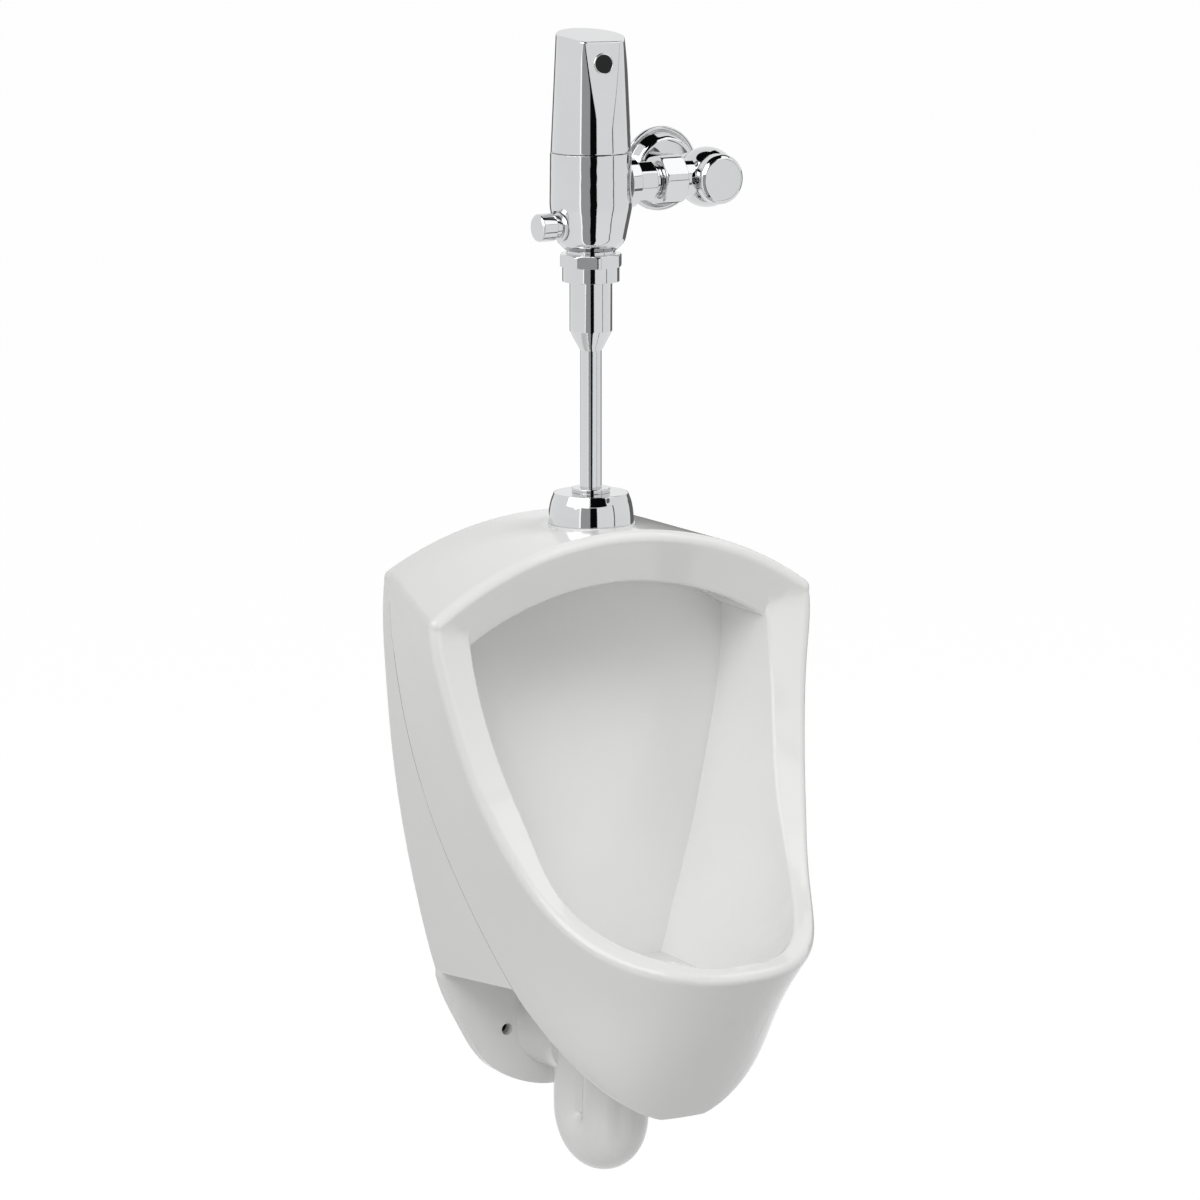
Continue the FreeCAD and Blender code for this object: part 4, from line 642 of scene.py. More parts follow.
@dataclass
class Studio:
    """White sweep, soft lights and the camera at the photograph's angle, in metres and degrees."""

    floor_z: float = -0.495
    floor_half: float = 90.0
    floor_paper: str = "#cfcfcf"
    floor_glow: float = 1.1
    floor_glow_share: float = 0.88
    white: str = "#ffffff"
    fill_light: float = 0.27
    backdrop_light: float = 1.0
    camera_at: tuple[float, float, float] = (-2.6940, -4.6542, 1.3763)
    azimuth: float = -30.6
    elevation: float = 10.354
    lens_mm: float = 180.0
    sensor_mm: float = 36.0
    clip_end: float = 200.0
    aim: tuple[float, float, float] = (0.0, -0.15, 0.3)
    valve_y: float = -0.083
    valve_z: float = 0.78
    dome_radius: float = 6.0
    dome_rows: int = 17
    arc_columns: int = 65
    card_lift: float = 0.01
    bolt_spacing: float = 0.09525
    shade_radius: float = 0.0062
    shade_gap: float = 0.0005
    shade_columns: int = 33
    shade_paint: str = "#1d1d1d"

    def build(self) -> None:
        """Set the view transform and make the camera, lights, world, floor, cards and shades."""
        scene = bpy.context.scene
        scene.view_settings.view_transform = "Standard"
        self._camera(scene)
        self._world(scene)
        self._lights()
        self._floor()
        for card in CARDS:
            self._card(card)
        for canopy in CANOPIES:
            self._canopy(canopy)
        self._shades()

    @staticmethod
    def _stand(mesh: bpy.types.Mesh, material: bpy.types.Material,
               gloss_only: bool = False) -> None:
        """Put a surface in the scene.

        Args:
            mesh: The surface, which gives the object its name.
            material: Its material.
            gloss_only: Whether only reflections see it.
        """
        mesh.materials.append(material)
        stand = bpy.data.objects.new(mesh.name, mesh)
        if gloss_only:
            stand.visible_camera = False
            stand.visible_diffuse = False
            stand.visible_transmission = False
            stand.visible_volume_scatter = False
            stand.visible_shadow = False
        bpy.context.scene.collection.objects.link(stand)

    def _shades(self) -> None:
        """Put a matte dark disc of painted shade in the wall's plane behind each bolt hole.

        A disc is a radius over one parameter and an angle over the other, in the wall's plane.
        """
        material, tree = node_material("wall_shade")
        paint = add_node(tree, "ShaderNodeBsdfDiffuse", {"Color": linear(self.shade_paint)})
        add_node(tree, "ShaderNodeOutputMaterial", {"Surface": paint.outputs[0]})
        turn, reach = np.meshgrid(np.linspace(0.0, 2.0 * np.pi, self.shade_columns),
                                  [0.0, self.shade_radius])
        for across in (-self.bolt_spacing / 2, self.bolt_spacing / 2):
            points = np.stack((across + reach * np.cos(turn), np.full_like(turn, self.shade_gap),
                               reach * np.sin(turn)), axis=-1)
            self._stand(grid_mesh("wall_shade", points), material)

    def _camera(self, scene: bpy.types.Scene) -> None:
        """Aim the camera level-headed along its azimuth and elevation.

        Args:
            scene: Scene that gets the camera.
        """
        data = bpy.data.cameras.new("photograph")
        data.lens = self.lens_mm
        data.sensor_width = self.sensor_mm
        data.sensor_fit = "HORIZONTAL"
        data.clip_end = self.clip_end
        turn, tip = np.radians([self.azimuth, self.elevation])
        back = Vector((np.sin(turn) * np.cos(tip), -np.cos(turn) * np.cos(tip), np.sin(tip)))
        right = Vector((np.cos(turn), np.sin(turn), 0.0))
        up = back.cross(right)
        frame = Matrix((right, up, back)).transposed().to_4x4()
        camera = bpy.data.objects.new("photograph", data)
        camera.matrix_world = Matrix.Translation(self.camera_at) @ frame
        scene.collection.objects.link(camera)
        scene.camera = camera

    @staticmethod
    def _seen(tree: bpy.types.NodeTree) -> bpy.types.NodeSocket:
        """Tell rays that show a surface from rays that only light it.

        Args:
            tree: Node tree that gets the test.

        Returns:
            A socket that is 1 for camera, glossy and transmission rays.
        """
        path = add_node(tree, "ShaderNodeLightPath")
        gloss = add_node(tree, "ShaderNodeMath", {0: path.outputs["Is Camera Ray"],
                                                  1: path.outputs["Is Glossy Ray"]},
                         operation="MAXIMUM")
        return add_node(tree, "ShaderNodeMath", {0: gloss.outputs[0],
                                                 1: path.outputs["Is Transmission Ray"]},
                        operation="MAXIMUM").outputs[0]

    def _world(self, scene: bpy.types.Scene) -> None:
        """Fill with soft light, and show white to the camera and to reflections.

        Args:
            scene: Scene that gets the world.
        """
        world = bpy.data.worlds.new("white_sweep")
        world.use_nodes = True
        tree = world.node_tree
        tree.nodes.clear()
        light = add_node(tree, "ShaderNodeBackground",
                         {"Color": linear(self.white), "Strength": self.fill_light})
        shown = add_node(tree, "ShaderNodeBackground",
                         {"Color": linear(self.white), "Strength": self.backdrop_light})
        mixed = add_node(tree, "ShaderNodeMixShader", {
            0: self._seen(tree), 1: light.outputs[0], 2: shown.outputs[0]})
        add_node(tree, "ShaderNodeOutputWorld", {"Surface": mixed.outputs[0]})
        scene.world = world

    def _lights(self) -> None:
        """Hang the soft boxes, whose glare the canopies give to the gloss instead."""
        for box in SOFT_BOXES:
            data = bpy.data.lights.new(box.name, "AREA")
            data.size = box.size
            data.energy = box.power
            lamp = bpy.data.objects.new(box.name, data)
            lamp.location = box.place
            aim = Vector(self.aim) - Vector(box.place)
            lamp.rotation_euler = aim.to_track_quat("-Z", "Y").to_euler()
            lamp.visible_glossy = False
            bpy.context.scene.collection.objects.link(lamp)

    def _floor(self) -> None:
        """Lay a plain white floor below the wall-hung piece, out to the horizon."""
        span = np.array([-self.floor_half, self.floor_half])
        x, y = np.meshgrid(span, span)
        mesh = grid_mesh("floor", np.stack((x, y, np.full_like(x, self.floor_z)), axis=-1))
        material, tree = node_material("white_paper")
        share = add_node(tree, "ShaderNodeMath", {0: self._seen(tree), 1: self.floor_glow_share},
                         operation="MULTIPLY")
        paper = add_node(tree, "ShaderNodeBsdfDiffuse", {"Color": linear(self.floor_paper)})
        glow = add_node(tree, "ShaderNodeEmission",
                        {"Color": linear(self.white), "Strength": self.floor_glow})
        mixed = add_node(tree, "ShaderNodeMixShader",
                         {0: share.outputs[0], 1: paper.outputs[0], 2: glow.outputs[0]})
        add_node(tree, "ShaderNodeOutputMaterial", {"Surface": mixed.outputs[0]})
        self._stand(mesh, material)

    def _card(self, card: Card) -> None:
        """Stand a card on its arc.

        The surface is an angle along one parameter and, along the other, a path that comes down
        an upright cylinder and then in along the floor.

        Args:
            card: Its tone and where it stands.
        """
        foot = self.floor_z + self.card_lift
        path = np.array([(card.radius, card.high), (card.radius, foot), (card.inner, foot)])
        self._show_in_gloss(card.name, card.tone, card.start, card.end, path)

    def _canopy(self, canopy: Canopy) -> None:
        """Hang a part of the dome: an arc over its elevations, swept over its angles.

        Args:
            canopy: Its tone and where it hangs.
        """
        rise = np.radians(np.linspace(canopy.low, canopy.high, self.dome_rows))
        path = self.dome_radius * np.stack((np.cos(rise), np.sin(rise)), axis=-1)
        path[:, 1] += self.valve_z
        self._show_in_gloss(canopy.name, canopy.tone, canopy.start, canopy.end, path)

    def _show_in_gloss(self, name: str, tone: Tone, start: float, end: float,
                       path: np.ndarray) -> None:
        """Sweep a path about the valve's axis into a card that only reflections see.

        Args:
            name: Name of the card.
            tone: Its light.
            start: First angle to the right of the direction to the camera, in degrees.
            end: Last angle.
            path: Points of reach from the axis and height, in metres.
        """
        angle = np.radians(np.linspace(start, end, self.arc_columns) + self.azimuth)
        turn, reach = np.meshgrid(angle, path[:, 0])
        points = np.stack((reach * np.sin(turn), self.valve_y - reach * np.cos(turn),
                           np.broadcast_to(path[:, 1:], turn.shape)), axis=-1)
        material, tree = node_material(name)
        glow = add_node(tree, "ShaderNodeEmission",
                        {"Color": linear(self.white), "Strength": tone.value})
        add_node(tree, "ShaderNodeOutputMaterial", {"Surface": glow.outputs[0]})
        self._stand(grid_mesh(name, points), material, gloss_only=True)


@dataclass
class Dresser:
    """Gives every node of the model its finish and smooth shading."""

    nodes: dict[str, bpy.types.Object]
    slots: dict[str, str]
    materials: dict[Slot, bpy.types.Material] = field(default_factory=dict)
    smooth: dict[str, bpy.types.NodeTree] = field(default_factory=dict)

    def build(self) -> None:
        """Make the finishes and put them on the nodes."""
        self.materials = {slot: finish.build() for slot, finish in FINISHES.items()}
        looks = {name: (SHARP_FROM_BY_NODE.get(name, SHARP_FROM), CREASES.get(name))
                 for name in self.nodes}
        groups = {look: smoothing_group(*look) for look in dict.fromkeys(looks.values())}
        self.smooth = {name: groups[look] for name, look in looks.items()}
        for name, node in self.nodes.items():
            slot = Slot(self.slots[name])
            for holder in node.material_slots:
                holder.material = self.materials[slot]
            node.modifiers.new("weld_and_smooth", "NODES").node_group = self.smooth[name]
            node.modifiers.new("even_normals", "WEIGHTED_NORMAL").keep_sharp = True
            LOG.info("%s is %s", name, slot.value)


@dataclass
class Maker:
    """Puts new pieces in the scene and ties each to the node that it stands for."""

    dresser: Dresser
    bodies: dict[str, str]

    def add(self, node: str, *grids: tuple[np.ndarray, bool]) -> bpy.types.Object:
        """Make the piece for a node from one or more surfaces.

        Args:
            node: Node that the piece stands for.
            grids: Points of each surface, and whether its last row joins the first.

        Returns:
            The new piece.
        """
        whole = bmesh.new()
        for points, closed in grids:
            part = grid_mesh(node, points, ring=True, closed=closed)
            whole.from_mesh(part)
            bpy.data.meshes.remove(part)
        bmesh.ops.remove_doubles(whole, verts=whole.verts, dist=JOIN)
        bmesh.ops.dissolve_degenerate(whole, edges=whole.edges, dist=JOIN)
        bmesh.ops.recalc_face_normals(whole, faces=whole.faces)
        mesh = bpy.data.meshes.new(node + "_look")
        whole.to_mesh(mesh)
        whole.free()
        mesh.shade_smooth()
        return self.place(node, mesh)

    def copy(self, node: str) -> bpy.types.Mesh:
        """Copy a node's mesh with its triangles joined.

        Args:
            node: Node whose mesh is copied.

        Returns:
            The new mesh, without materials.
        """
        whole = bmesh.new()
        whole.from_mesh(self.dresser.nodes[node].data)
        bmesh.ops.remove_doubles(whole, verts=whole.verts, dist=WELD)
        bmesh.ops.triangulate(whole, faces=whole.faces)
        mesh = bpy.data.meshes.new(node + "_look")
        whole.to_mesh(mesh)
        whole.free()
        return mesh

    def place(self, node: str, mesh: bpy.types.Mesh,
              smooth: bpy.types.NodeTree | None = None) -> bpy.types.Object:
        """Put a mesh in the scene for a node.

        Args:
            node: Node that the piece stands for.
            mesh: Its surface.
            smooth: Group that tells sharp edges from smooth ones, if the mesh has any.

        Returns:
            The new piece.
        """
        slot = self.dresser.slots[node]
        mesh.materials.clear()
        mesh.materials.append(self.dresser.materials[Slot(slot)])
        piece = bpy.data.objects.new(node + "_look", mesh)
        bpy.context.scene.collection.objects.link(piece)
        if smooth:
            piece.modifiers.new("weld_and_smooth", "NODES").node_group = smooth
        piece.modifiers.new("even_normals", "WEIGHTED_NORMAL").keep_sharp = True
        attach(piece, self.bodies[node])
        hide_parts(node)
        LOG.info("%s stands for %s", piece.name, node)
        return piece


def on_z(node: str) -> Axis:
    """Give the upright axis through the middle of a node, from its foot."""
    low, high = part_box(node)
    return Axis(((low.x + high.x) / 2, (low.y + high.y) / 2, low.z), (0, 0, 1), (0, -1, 0))


def on_y(node: str, start: float) -> Axis:
    """Give the axis to the front through the middle of a node, from a place along Y."""
    low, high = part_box(node)
    return Axis(((low.x + high.x) / 2, start, (low.z + high.z) / 2), (0, -1, 0), (0, 0, 1))


@dataclass
class China:
    """The china with a fuller mouth, as the photograph shows it, in millimetres.

    A copy of the model's mesh, on which the bowl's wall and the rim's inner edge move outwards
    low in the mouth, while the outside and the rim's outer edge stay. Pivot and back are places
    along Y. A face is outside where the cosine of its angle to the mouth's middle is less than a
    share, and the margin is what the rim's outer edge keeps.
    """

    node: str = "china_body"
    # The rim's inner edge in the model: height, half width and depth, then the share by which it
    # widens and the way that it goes forward. The rows before open_from lie below the edge.
    edge: tuple[tuple[float, float, float, float, float], ...] = (
        (78.0, 12.0, -331.0, 0.0, 0.0), (98.0, 12.0, -331.0, 0.12, 2.5),
        (117.0, 12.0, -331.0, 0.22, 5.5), (124.0, 18.0, -335.0, 0.235, 6.5),
        (129.0, 45.0, -318.0, 0.242, 7.0), (134.0, 59.0, -302.0, 0.241, 6.0),
        (140.0, 72.0, -286.0, 0.234, 4.2), (150.0, 84.0, -268.0, 0.212, 1.5),
        (160.0, 95.0, -251.0, 0.182, -0.6), (170.0, 102.5, -239.0, 0.146, -1.4),
        (180.0, 109.0, -229.0, 0.111, -1.6), (190.0, 115.5, -220.5, 0.079, -1.4),
        (200.0, 121.0, -213.0, 0.053, -1.0), (210.0, 125.0, -206.5, 0.033, -0.6),
        (221.0, 128.0, -200.0, 0.017, -0.3), (231.0, 132.0, -194.0, 0.008, -0.1),
        (240.0, 135.0, -189.0, 0.003, 0.0), (260.0, 138.0, -179.0, 0.0, 0.0),
        (301.0, 147.0, -161.0, 0.0, 0.0))
    middle: tuple[float, float, float] = (0.0, -170.0, 200.0)
    pivot: float = -200.0
    back: float = -110.0
    rounding: float = 3.0
    margin: float = 9.0
    outside: float = -0.35
    open_from: int = 2
    sectors: int = 60
    least_band: float = 1.0
    least_length: float = 1e-9

    def shift(self, at: np.ndarray, corners: np.ndarray) -> np.ndarray:
        """Work out how far each point moves.

        A point moves along X by a share of its distance from the middle plane, and forward. Both
        depend on its height, fade to nothing towards the bowl's back, and fade across the rim
        from its inner edge to its outer one, measured in plan about a pivot in the mouth. Points
        of faces that look away from the mouth's middle stay.

        Args:
            at: Points in millimetres.
            corners: Numbers of the three points of each triangle.

        Returns:
            Array of movements in millimetres.
        """
        height, half, depth, widen, ahead = np.array(self.edge).T
        first, second, third = at[corners[:, 0]], at[corners[:, 1]], at[corners[:, 2]]
        normal = np.cross(second - first, third - first)
        away = np.array(self.middle) - (first + second + third) / 3.0
        facing = (normal * away).sum(axis=1) / np.maximum(
            np.linalg.norm(normal, axis=1) * np.linalg.norm(away, axis=1), self.least_length)
        moves = np.ones(len(at))
        moves[corners[facing < self.outside].ravel()] = 0.0
        depth_here = np.interp(at[:, 2], height, depth)
        share = np.clip((self.back - at[:, 1]) / (self.back - depth_here), 0.0, 1.0)
        moves *= share * share * (3.0 - 2.0 * share)
        angle = np.arctan2(np.abs(at[:, 0]), self.pivot - at[:, 1])
        reach = np.hypot(at[:, 0], at[:, 1] - self.pivot)
        aside, ahead_by = half[self.open_from:], self.pivot - depth[self.open_from:]
        inner = np.interp(angle, np.arctan2(aside, ahead_by),
                          np.hypot(aside, ahead_by)) + self.rounding
        count = self.sectors
        sector = np.minimum((angle / np.pi * count).astype(int), count - 1)
        rim = (at[:, 2] > height[0]) & (at[:, 2] < height[-1])
        outer = np.zeros(count)
        np.maximum.at(outer, sector[rim], reach[rim])
        brink = np.interp(angle, (np.arange(count) + 0.5) * np.pi / count, outer) - self.margin
        moves *= np.clip((brink - reach) / np.maximum(brink - inner, self.least_band), 0.0, 1.0)
        out = np.interp(at[:, 2], height, widen, left=0.0, right=0.0) * at[:, 0]
        forward = np.interp(at[:, 2], height, ahead, left=0.0, right=0.0)
        return np.stack((out, -forward, np.zeros_like(out)), axis=-1) * moves[:, None]

    def build(self, maker: Maker) -> None:
        """Copy the china's mesh and move its points.

        Args:
            maker: Puts the pieces in the scene.
        """
        mesh = maker.copy(self.node)
        flat = np.empty(len(mesh.vertices) * 3)
        mesh.vertices.foreach_get("co", flat)
        corners = np.empty(len(mesh.polygons) * 3, dtype=np.int32)
        mesh.polygons.foreach_get("vertices", corners)
        at = flat.reshape(-1, 3)
        moved = at + self.shift(at / MM, corners.reshape(-1, 3)) * MM
        mesh.vertices.foreach_set("co", moved.ravel())
        mesh.update()
        maker.place(self.node, mesh, maker.dresser.smooth[self.node])


@dataclass
class Cover:
    """The valve's tapering cover with its leaning facets, and the lens in the front one.

    Sizes are in millimetres and degrees, heights from the seam, angles from the front.
    """

    base: float = 35.8
    taper: float = 0.0451
    height: float = 103.2
    slope: float = 8.0
    wall: float = 2.2
    lean: float = 6.6
    # Angle of each facet's middle, and the height at which it leaves the cone.
    facets: tuple[tuple[float, float], ...] = ((-7.0, 28.7), (-71.0, 56.0), (57.0, 78.0))
    least_cosine: float = 0.05
    edge: float = 0.9
    top_edge: float = 1.6
    columns: int = 360
    wall_rows: int = 60
    edge_rows: int = 10
    top_rows: int = 12
    rounds: int = 6
    lens_height: float = 80.1
    lens_radius: float = 8.25
    lens_foot: float = -1.5
    lens_crown: float = 0.1
    lens_edge: float = 1.0
    ring_width: float = 1.0
    ring_foot: float = -1.0
    ring_height: float = 0.45
    ring_columns: int = 96
    screw_proud: float = 0.7
    screw_columns: int = 48
    axis: Axis = field(default_factory=lambda: Cover.upright())

    @staticmethod
    def upright() -> Axis:
        """Find the valve's upright axis.

        Returns:
            The axis through the flush tube's middle, from the cover's seam.
        """
        body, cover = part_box("flush_tube"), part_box("valve_cover")
        return Axis(((body[0].x + body[1].x) / 2, (body[0].y + body[1].y) / 2, cover[0].z),
                    (0, 0, 1), (0, -1, 0))

    def reach(self, angle: np.ndarray, height: np.ndarray, inset: float) -> np.ndarray:
        """Give the wall's distance from the axis.

        It is the lesser of a cone and, for each facet, a plane that leans back: the plane's
        distance from the axis over the cosine of the angle from the facet's middle.

        Args:
            angle: Angle from the front.
            height: Height over the seam.
            inset: How far inside the outer surface.

        Returns:
            Distances, with rounded edges between cone and facets.
        """
        radius = self.base - self.taper * height - inset
        for middle, rise in self.facets:
            plane = (self.base - self.taper * rise - inset
                     - (height - rise) * np.tan(np.radians(self.lean)))
            toward = np.maximum(np.cos(angle - np.radians(middle)), self.least_cosine)
            radius = smooth_least(radius, plane / toward, self.edge)
        return radius

    def shell(self, inset: float, edge: float) -> np.ndarray:
        """Work out the surface from the seam up to the middle of the top.

        At each angle it runs up the wall, round the top's edge on a parabola, and in along the
        sloped top, whose height falls towards the front. Where wall and top meet is found in a
        few rounds, each from the wall's distance at the height before.

        Args:
            inset: How far inside the outer surface.
            edge: Setback of the rounded edge.

        Returns:
            Grid of points in metres.
        """
        angle = np.arange(self.columns) * 2.0 * np.pi / self.columns
        fall = np.tan(np.radians(self.slope)) * np.cos(angle)
        top = self.height - inset
        corner = np.full_like(angle, top)
        for _ in range(self.rounds):
            corner = top - fall * self.reach(angle, corner, inset)
        rise = np.linspace(0.0, 1.0, self.wall_rows)[:, None] * (corner - edge)
        wall = np.stack((rise, self.reach(angle[None], rise, inset)), axis=-1)
        brink = np.stack((corner, self.reach(angle, corner, inset)), axis=-1)
        inward = brink[:, 1] - edge
        start, end = wall[-1], np.stack((top - fall * inward, inward), axis=-1)
        t = np.linspace(0.0, 1.0, self.edge_rows)[1:, None, None]
        bend = (1 - t) ** 2 * start + 2 * t * (1 - t) * brink + t ** 2 * end
        share = np.linspace(1.0, 0.0, self.top_rows)[1:, None]
        flat = np.stack((top - fall * inward * share, inward * share), axis=-1)
        rows = np.concatenate((wall, bend, flat))
        turn = np.broadcast_to(angle, rows.shape[:2])
        return self.axis.points(rows[..., 0], rows[..., 1], turn)

    def lens_axis(self) -> Axis:
        """Find the lens's axis.

        Returns:
            The axis square to the front facet, from the lens's middle on it.
        """
        middle, rise = self.facets[0]
        turn, tip = np.radians([middle, self.lean])
        out = np.array([np.sin(turn) * np.cos(tip), -np.cos(turn) * np.cos(tip), np.sin(tip)])
        away = (self.base - self.taper * rise - (self.lens_height - rise) * np.tan(tip)) * MM
        level = np.array([np.sin(turn), -np.cos(turn), 0.0])
        at = np.array(self.axis.origin) + level * away
        at[2] += self.lens_height * MM
        across = np.array([np.cos(turn), np.sin(turn), 0.0])
        return Axis(tuple(at), tuple(out), tuple(across))

    def build(self, maker: Maker) -> None:
        """Make the cover with the lens's ring, its screw, and the lens.

        Args:
            maker: Puts the pieces in the scene.
        """
        axis, lens = self.lens_axis(), self.lens_radius
        foot, rim, top = self.ring_foot, lens + self.ring_width, self.ring_height
        ring = turned(axis, ((foot, lens, HAIR), (foot, rim, HAIR), (top, rim, SOFT),
                             (top, lens, EASED)), columns=self.ring_columns)
        outside, inside = self.shell(0.0, self.top_edge), self.shell(self.wall, self.edge)
        maker.add("valve_cover", (np.concatenate((inside[::-1], outside)), False), (ring, True))
        low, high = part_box("cover_screw")
        back = Axis(((low.x + high.x) / 2, low.y, (low.z + high.z) / 2), (0, 1, 0), (1, 0, 0))
        end, screw = (high.y - low.y) / MM + self.screw_proud, (high.x - low.x) / 2 / MM
        socket, floor = screw / 2, end - screw
        maker.add("cover_screw", (turned(back, (
            (0.0, 0.0, 0.0), (0.0, screw, EASED), (end, screw, SOFT), (end, socket, HAIR),
            (floor, socket, HAIR), (floor, 0.0, 0.0)), columns=self.screw_columns), False))
        face = self.ring_height / 2
        crown = face + self.lens_crown
        maker.add("sensor_lens", (turned(axis, (
            (self.lens_foot, 0.0, 0.0), (self.lens_foot, lens, HAIR), (face, lens, EASED),
            (crown, lens / 2, self.lens_edge), (crown, 0.0, 0.0)),
            columns=self.ring_columns), False))


@dataclass
class Bell:
    """Round-sided bell on the crown and the collar on it, in millimetres from the bell's foot."""

    base: float = 38.5
    belly: Corners = ((9.0, 38.2, 4.0), (19.0, 36.6, 4.0))
    top: float = 33.3
    top_edge: float = 0.9
    under_edge: float = 0.6
    height: float = 27.5
    wall: float = 1.4
    hole: float = 10.0
    tube: float = 9.6
    collar: float = 17.2
    collar_height: float = 4.2
    collar_edge: float = 0.8

    def build(self, maker: Maker) -> None:
        """Turn the bell's outer and inner outlines, and the collar.

        Args:
            maker: Puts the pieces in the scene.
        """
        axis = on_z("spud_escutcheon")
        under = self.height - self.wall
        inner = tuple((z, r - self.wall, s) for z, r, s in reversed(self.belly))
        maker.add("spud_escutcheon", (turned(axis, (
            (0.0, self.base - self.wall, CRISP), (0.0, self.base, SOFT), *self.belly,
            (self.height, self.top, self.top_edge), (self.height, self.hole, EASED),
            (under, self.hole, EASED), (under, self.top - self.wall, self.under_edge),
            *inner)), True))
        end = self.height + self.collar_height
        maker.add("tube_collar", (turned(axis, (
            (self.height, self.tube, CRISP), (self.height, self.collar, SOFT),
            (end, self.collar, self.collar_edge), (end, self.tube, EASED))), True))


@dataclass
class Nut:
    """Eight-sided nut with a round skirt under the valve, in millimetres from its foot."""

    bore: float = 19.35
    thread: float = 21.9
    lip: float = 3.5
    skirt: float = 25.5
    skirt_edge: float = 0.9
    step: float = 13.6
    blank: float = 28.2
    height: float = 25.1
    chamfer: float = 3.0
    flats: Flats = Flats(8, 53.0, 7.5)

    def build(self, maker: Maker) -> None:
        """Turn the nut with barrel ends, which round the corners of its flats.

        Args:
            maker: Puts the pieces in the scene.
        """
        maker.add("outlet_coupling_nut", (turned(on_z("outlet_coupling_nut"), (
            (0.0, self.bore, EASED), (0.0, self.skirt, self.skirt_edge),
            (self.step, self.skirt, CRISP), (self.step, self.blank, self.chamfer),
            (self.height, self.blank, self.chamfer), (self.height, self.thread, EASED),
            (self.lip, self.thread, CRISP), (self.lip, self.bore, CRISP)), self.flats), True))


@dataclass
class Button:
    """Override button on the valve's left: cap, bushing and spring.

    Sizes are in millimetres, and places are from the valve's axis.
    """

    stem: float = 3.3
    thread: float = 7.9
    thread_start: float = 24.0
    collar: float = 13.8
    collar_start: float = 31.0
    collar_end: float = 32.4
    shoulder: float = 12.1
    shoulder_end: float = 33.8
    barrel: float = 10.2
    barrel_end: float = 46.0
    spring: float = 7.5
    spring_seat: float = 37.0
    cap_bore: float = 10.5
    cap: float = 12.3
    cap_foot: float = 40.2
    cap_end: float = 55.6
    cap_chamfer: float = 1.5
    cap_wall: float = 2.0
    travel: float = 6.0

    def build(self, maker: Maker) -> None:
        """Turn the cap and the bushing about the button's axis, and put in a copy of the spring.

        Args:
            maker: Puts the pieces in the scene.
        """
        low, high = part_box("button_spring")
        spring = maker.place("button_spring", maker.copy("button_spring"),
                             maker.dresser.smooth["button_spring"])
        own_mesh(spring)
        low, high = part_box("button_cap")
        axis = Axis((0.0, (low.y + high.y) / 2, (low.z + high.z) / 2), (-1, 0, 0), (0, -1, 0))
        inner = self.cap_end - self.cap_wall
        maker.add("button_cap", (turned(axis, (
            (inner, 0.0, 0.0), (inner, self.cap_bore, EASED), (self.cap_foot, self.cap_bore, EASED),
            (self.cap_foot, self.cap, SOFT), (self.cap_end - self.cap_chamfer, self.cap, FULL),
            (self.cap_end, self.cap - self.cap_chamfer, FULL), (self.cap_end, 0.0, 0.0))), False))
        maker.add("button_bushing", (turned(axis, (
            (self.thread_start, self.stem, CRISP), (self.thread_start, self.thread, EASED),
            (self.collar_start, self.thread, CRISP), (self.collar_start, self.collar, EASED),
            (self.collar_end, self.collar, FULL), (self.shoulder_end, self.shoulder, FULL),
            (self.shoulder_end, self.barrel, EASED), (self.barrel_end, self.barrel, SOFT),
            (self.barrel_end, self.spring, EASED), (self.spring_seat, self.spring, CRISP),
            (self.spring_seat, self.stem, CRISP))), True))


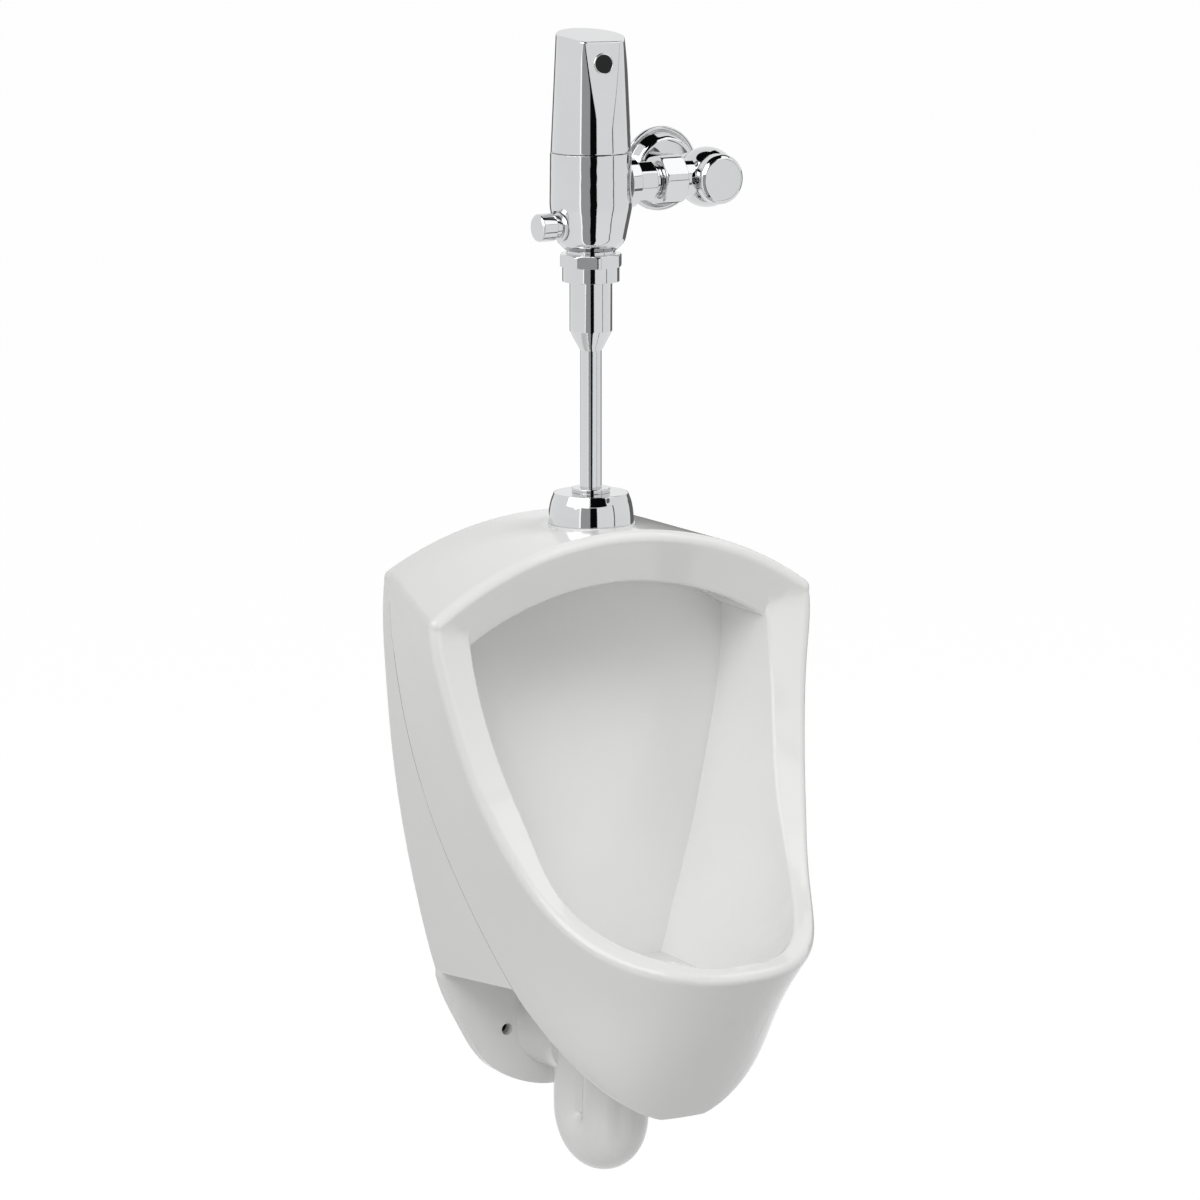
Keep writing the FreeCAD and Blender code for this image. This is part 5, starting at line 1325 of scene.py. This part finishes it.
@dataclass
class Supply:
    """Tailpiece, coupling nut and cap of the stop, in millimetres.

    Places on the line are from the valve's axis, and those on the cap are from its back.
    """

    bore: float = 10.0
    pipe: float = 13.0
    pipe_end: float = 97.0
    thread: float = 13.9
    thread_start: float = 34.0
    collar: float = 18.3
    collar_start: float = 41.0
    collar_start_edge: float = 2.6
    collar_end: float = 60.0
    collar_end_edge: float = 3.2
    collar_flats: Flats = Flats(8, 34.4, -7.0)
    shoulder: float = 15.6
    shoulder_end: float = 65.7
    shoulder_edge: float = 0.6
    nut: float = 22.7
    nut_start: float = 66.0
    nut_start_edge: float = 3.0
    nut_end: float = 89.5
    nut_end_edge: float = 1.6
    nut_seat: float = 69.0
    nut_thread: float = 17.1
    nut_gap: float = 0.3
    nut_flats: Flats = Flats(6, 42.0, 18.5)
    cap: float = 22.5
    cap_edge: float = 0.8
    cap_face: float = 19.0
    cap_cone: float = 3.2
    cap_cone_edge: float = 2.6
    cap_bore: float = 19.3
    cap_length: float = 11.5
    cap_wall: float = 1.8

    def build(self, maker: Maker) -> None:
        """Turn the pieces along the supply line, and the cap out from the stop.

        Args:
            maker: Puts the pieces in the scene.
        """
        low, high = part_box("stop_cap")
        tube_low, tube_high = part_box("flush_tube")
        middle = (tube_low.y + tube_high.y) / 2
        line = Axis((0.0, middle, (low.z + high.z) / 2), (1, 0, 0), (0, -1, 0))
        maker.add("tailpiece", (turned(line, (
            (self.thread_start, self.bore, EASED), (self.thread_start, self.thread, EASED),
            (self.collar_start, self.thread, CRISP),
            (self.collar_start, self.collar, self.collar_start_edge),
            (self.collar_end, self.collar, self.collar_end_edge),
            (self.collar_end, self.shoulder, EASED),
            (self.shoulder_end, self.shoulder, self.shoulder_edge),
            (self.shoulder_end, self.pipe, CRISP), (self.pipe_end, self.pipe, EASED),
            (self.pipe_end, self.bore, EASED)), self.collar_flats), True))
        hole = self.pipe + self.nut_gap
        maker.add("stop_coupling_nut", (turned(line, (
            (self.nut_start, hole, EASED), (self.nut_start, self.nut, self.nut_start_edge),
            (self.nut_end, self.nut, self.nut_end_edge), (self.nut_end, self.nut_thread, EASED),
            (self.nut_seat, self.nut_thread, CRISP), (self.nut_seat, hole, CRISP)),
            self.nut_flats), True))
        end, inner = self.cap_length, self.cap_length - self.cap_wall
        maker.add("stop_cap", (turned(on_y("stop_cap", high.y), (
            (inner, 0.0, 0.0), (inner, self.cap_bore, EASED), (0.0, self.cap_bore, EASED),
            (0.0, self.cap, self.cap_edge), (end - self.cap_cone, self.cap, self.cap_cone_edge),
            (end, self.cap_face, self.cap_edge), (end, 0.0, 0.0))), False))


@dataclass
class Flange:
    """Flange at the wall: a rim, a groove and a dome, in millimetres from the wall."""

    rim: float = 38.5
    rim_wall: float = 1.5
    rim_height: float = 3.6
    rim_edge: float = 1.7
    rim_width: float = 3.4
    rim_inner_edge: float = 1.4
    groove: float = 4.2
    groove_height: float = 2.6
    groove_under: float = 5.6
    dome: float = 29.0
    dome_edge: float = 3.6
    dome_under: float = 0.8
    dome_under_edge: float = 2.0
    depth: float = 15.0
    wall: float = 1.5
    hole: float = 14.6

    def build(self, maker: Maker) -> None:
        """Turn the flange out from the wall, on the line of the stop.

        Args:
            maker: Puts the pieces in the scene.
        """
        rim, under = self.rim, self.depth - self.wall
        maker.add("wall_flange", (turned(on_y("stop_cap", 0.0), (
            (0.0, rim - self.rim_wall, CRISP), (0.0, rim, CRISP),
            (self.rim_height, rim, self.rim_edge),
            (self.rim_height, rim - self.rim_width, self.rim_inner_edge),
            (self.groove_height, rim - self.groove, FULL), (self.depth, self.dome, self.dome_edge),
            (self.depth, self.hole, EASED), (under, self.hole, EASED),
            (under, self.dome - self.dome_under, self.dome_under_edge),
            (self.groove_height - self.wall, rim - self.groove_under, FULL))), True))


def main() -> None:
    """Load the frame, dress it and set the studio."""
    logging.basicConfig(level=logging.INFO)
    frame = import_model()
    slots = {part["node"]: part["material_slot"] for part in frame["record"]["subparts"]}
    bodies = {node: body for body, nodes in frame["record"]["behaviour"]["bodies"].items()
              for node in nodes}
    dresser = Dresser(frame["nodes"], slots)
    dresser.build()
    maker = Maker(dresser, bodies)
    for assembly in (China(), Cover(), Bell(), Nut(), Button(), Supply(), Flange()):
        assembly.build(maker)
    Studio().build()


if __name__ == "__main__":
    main()
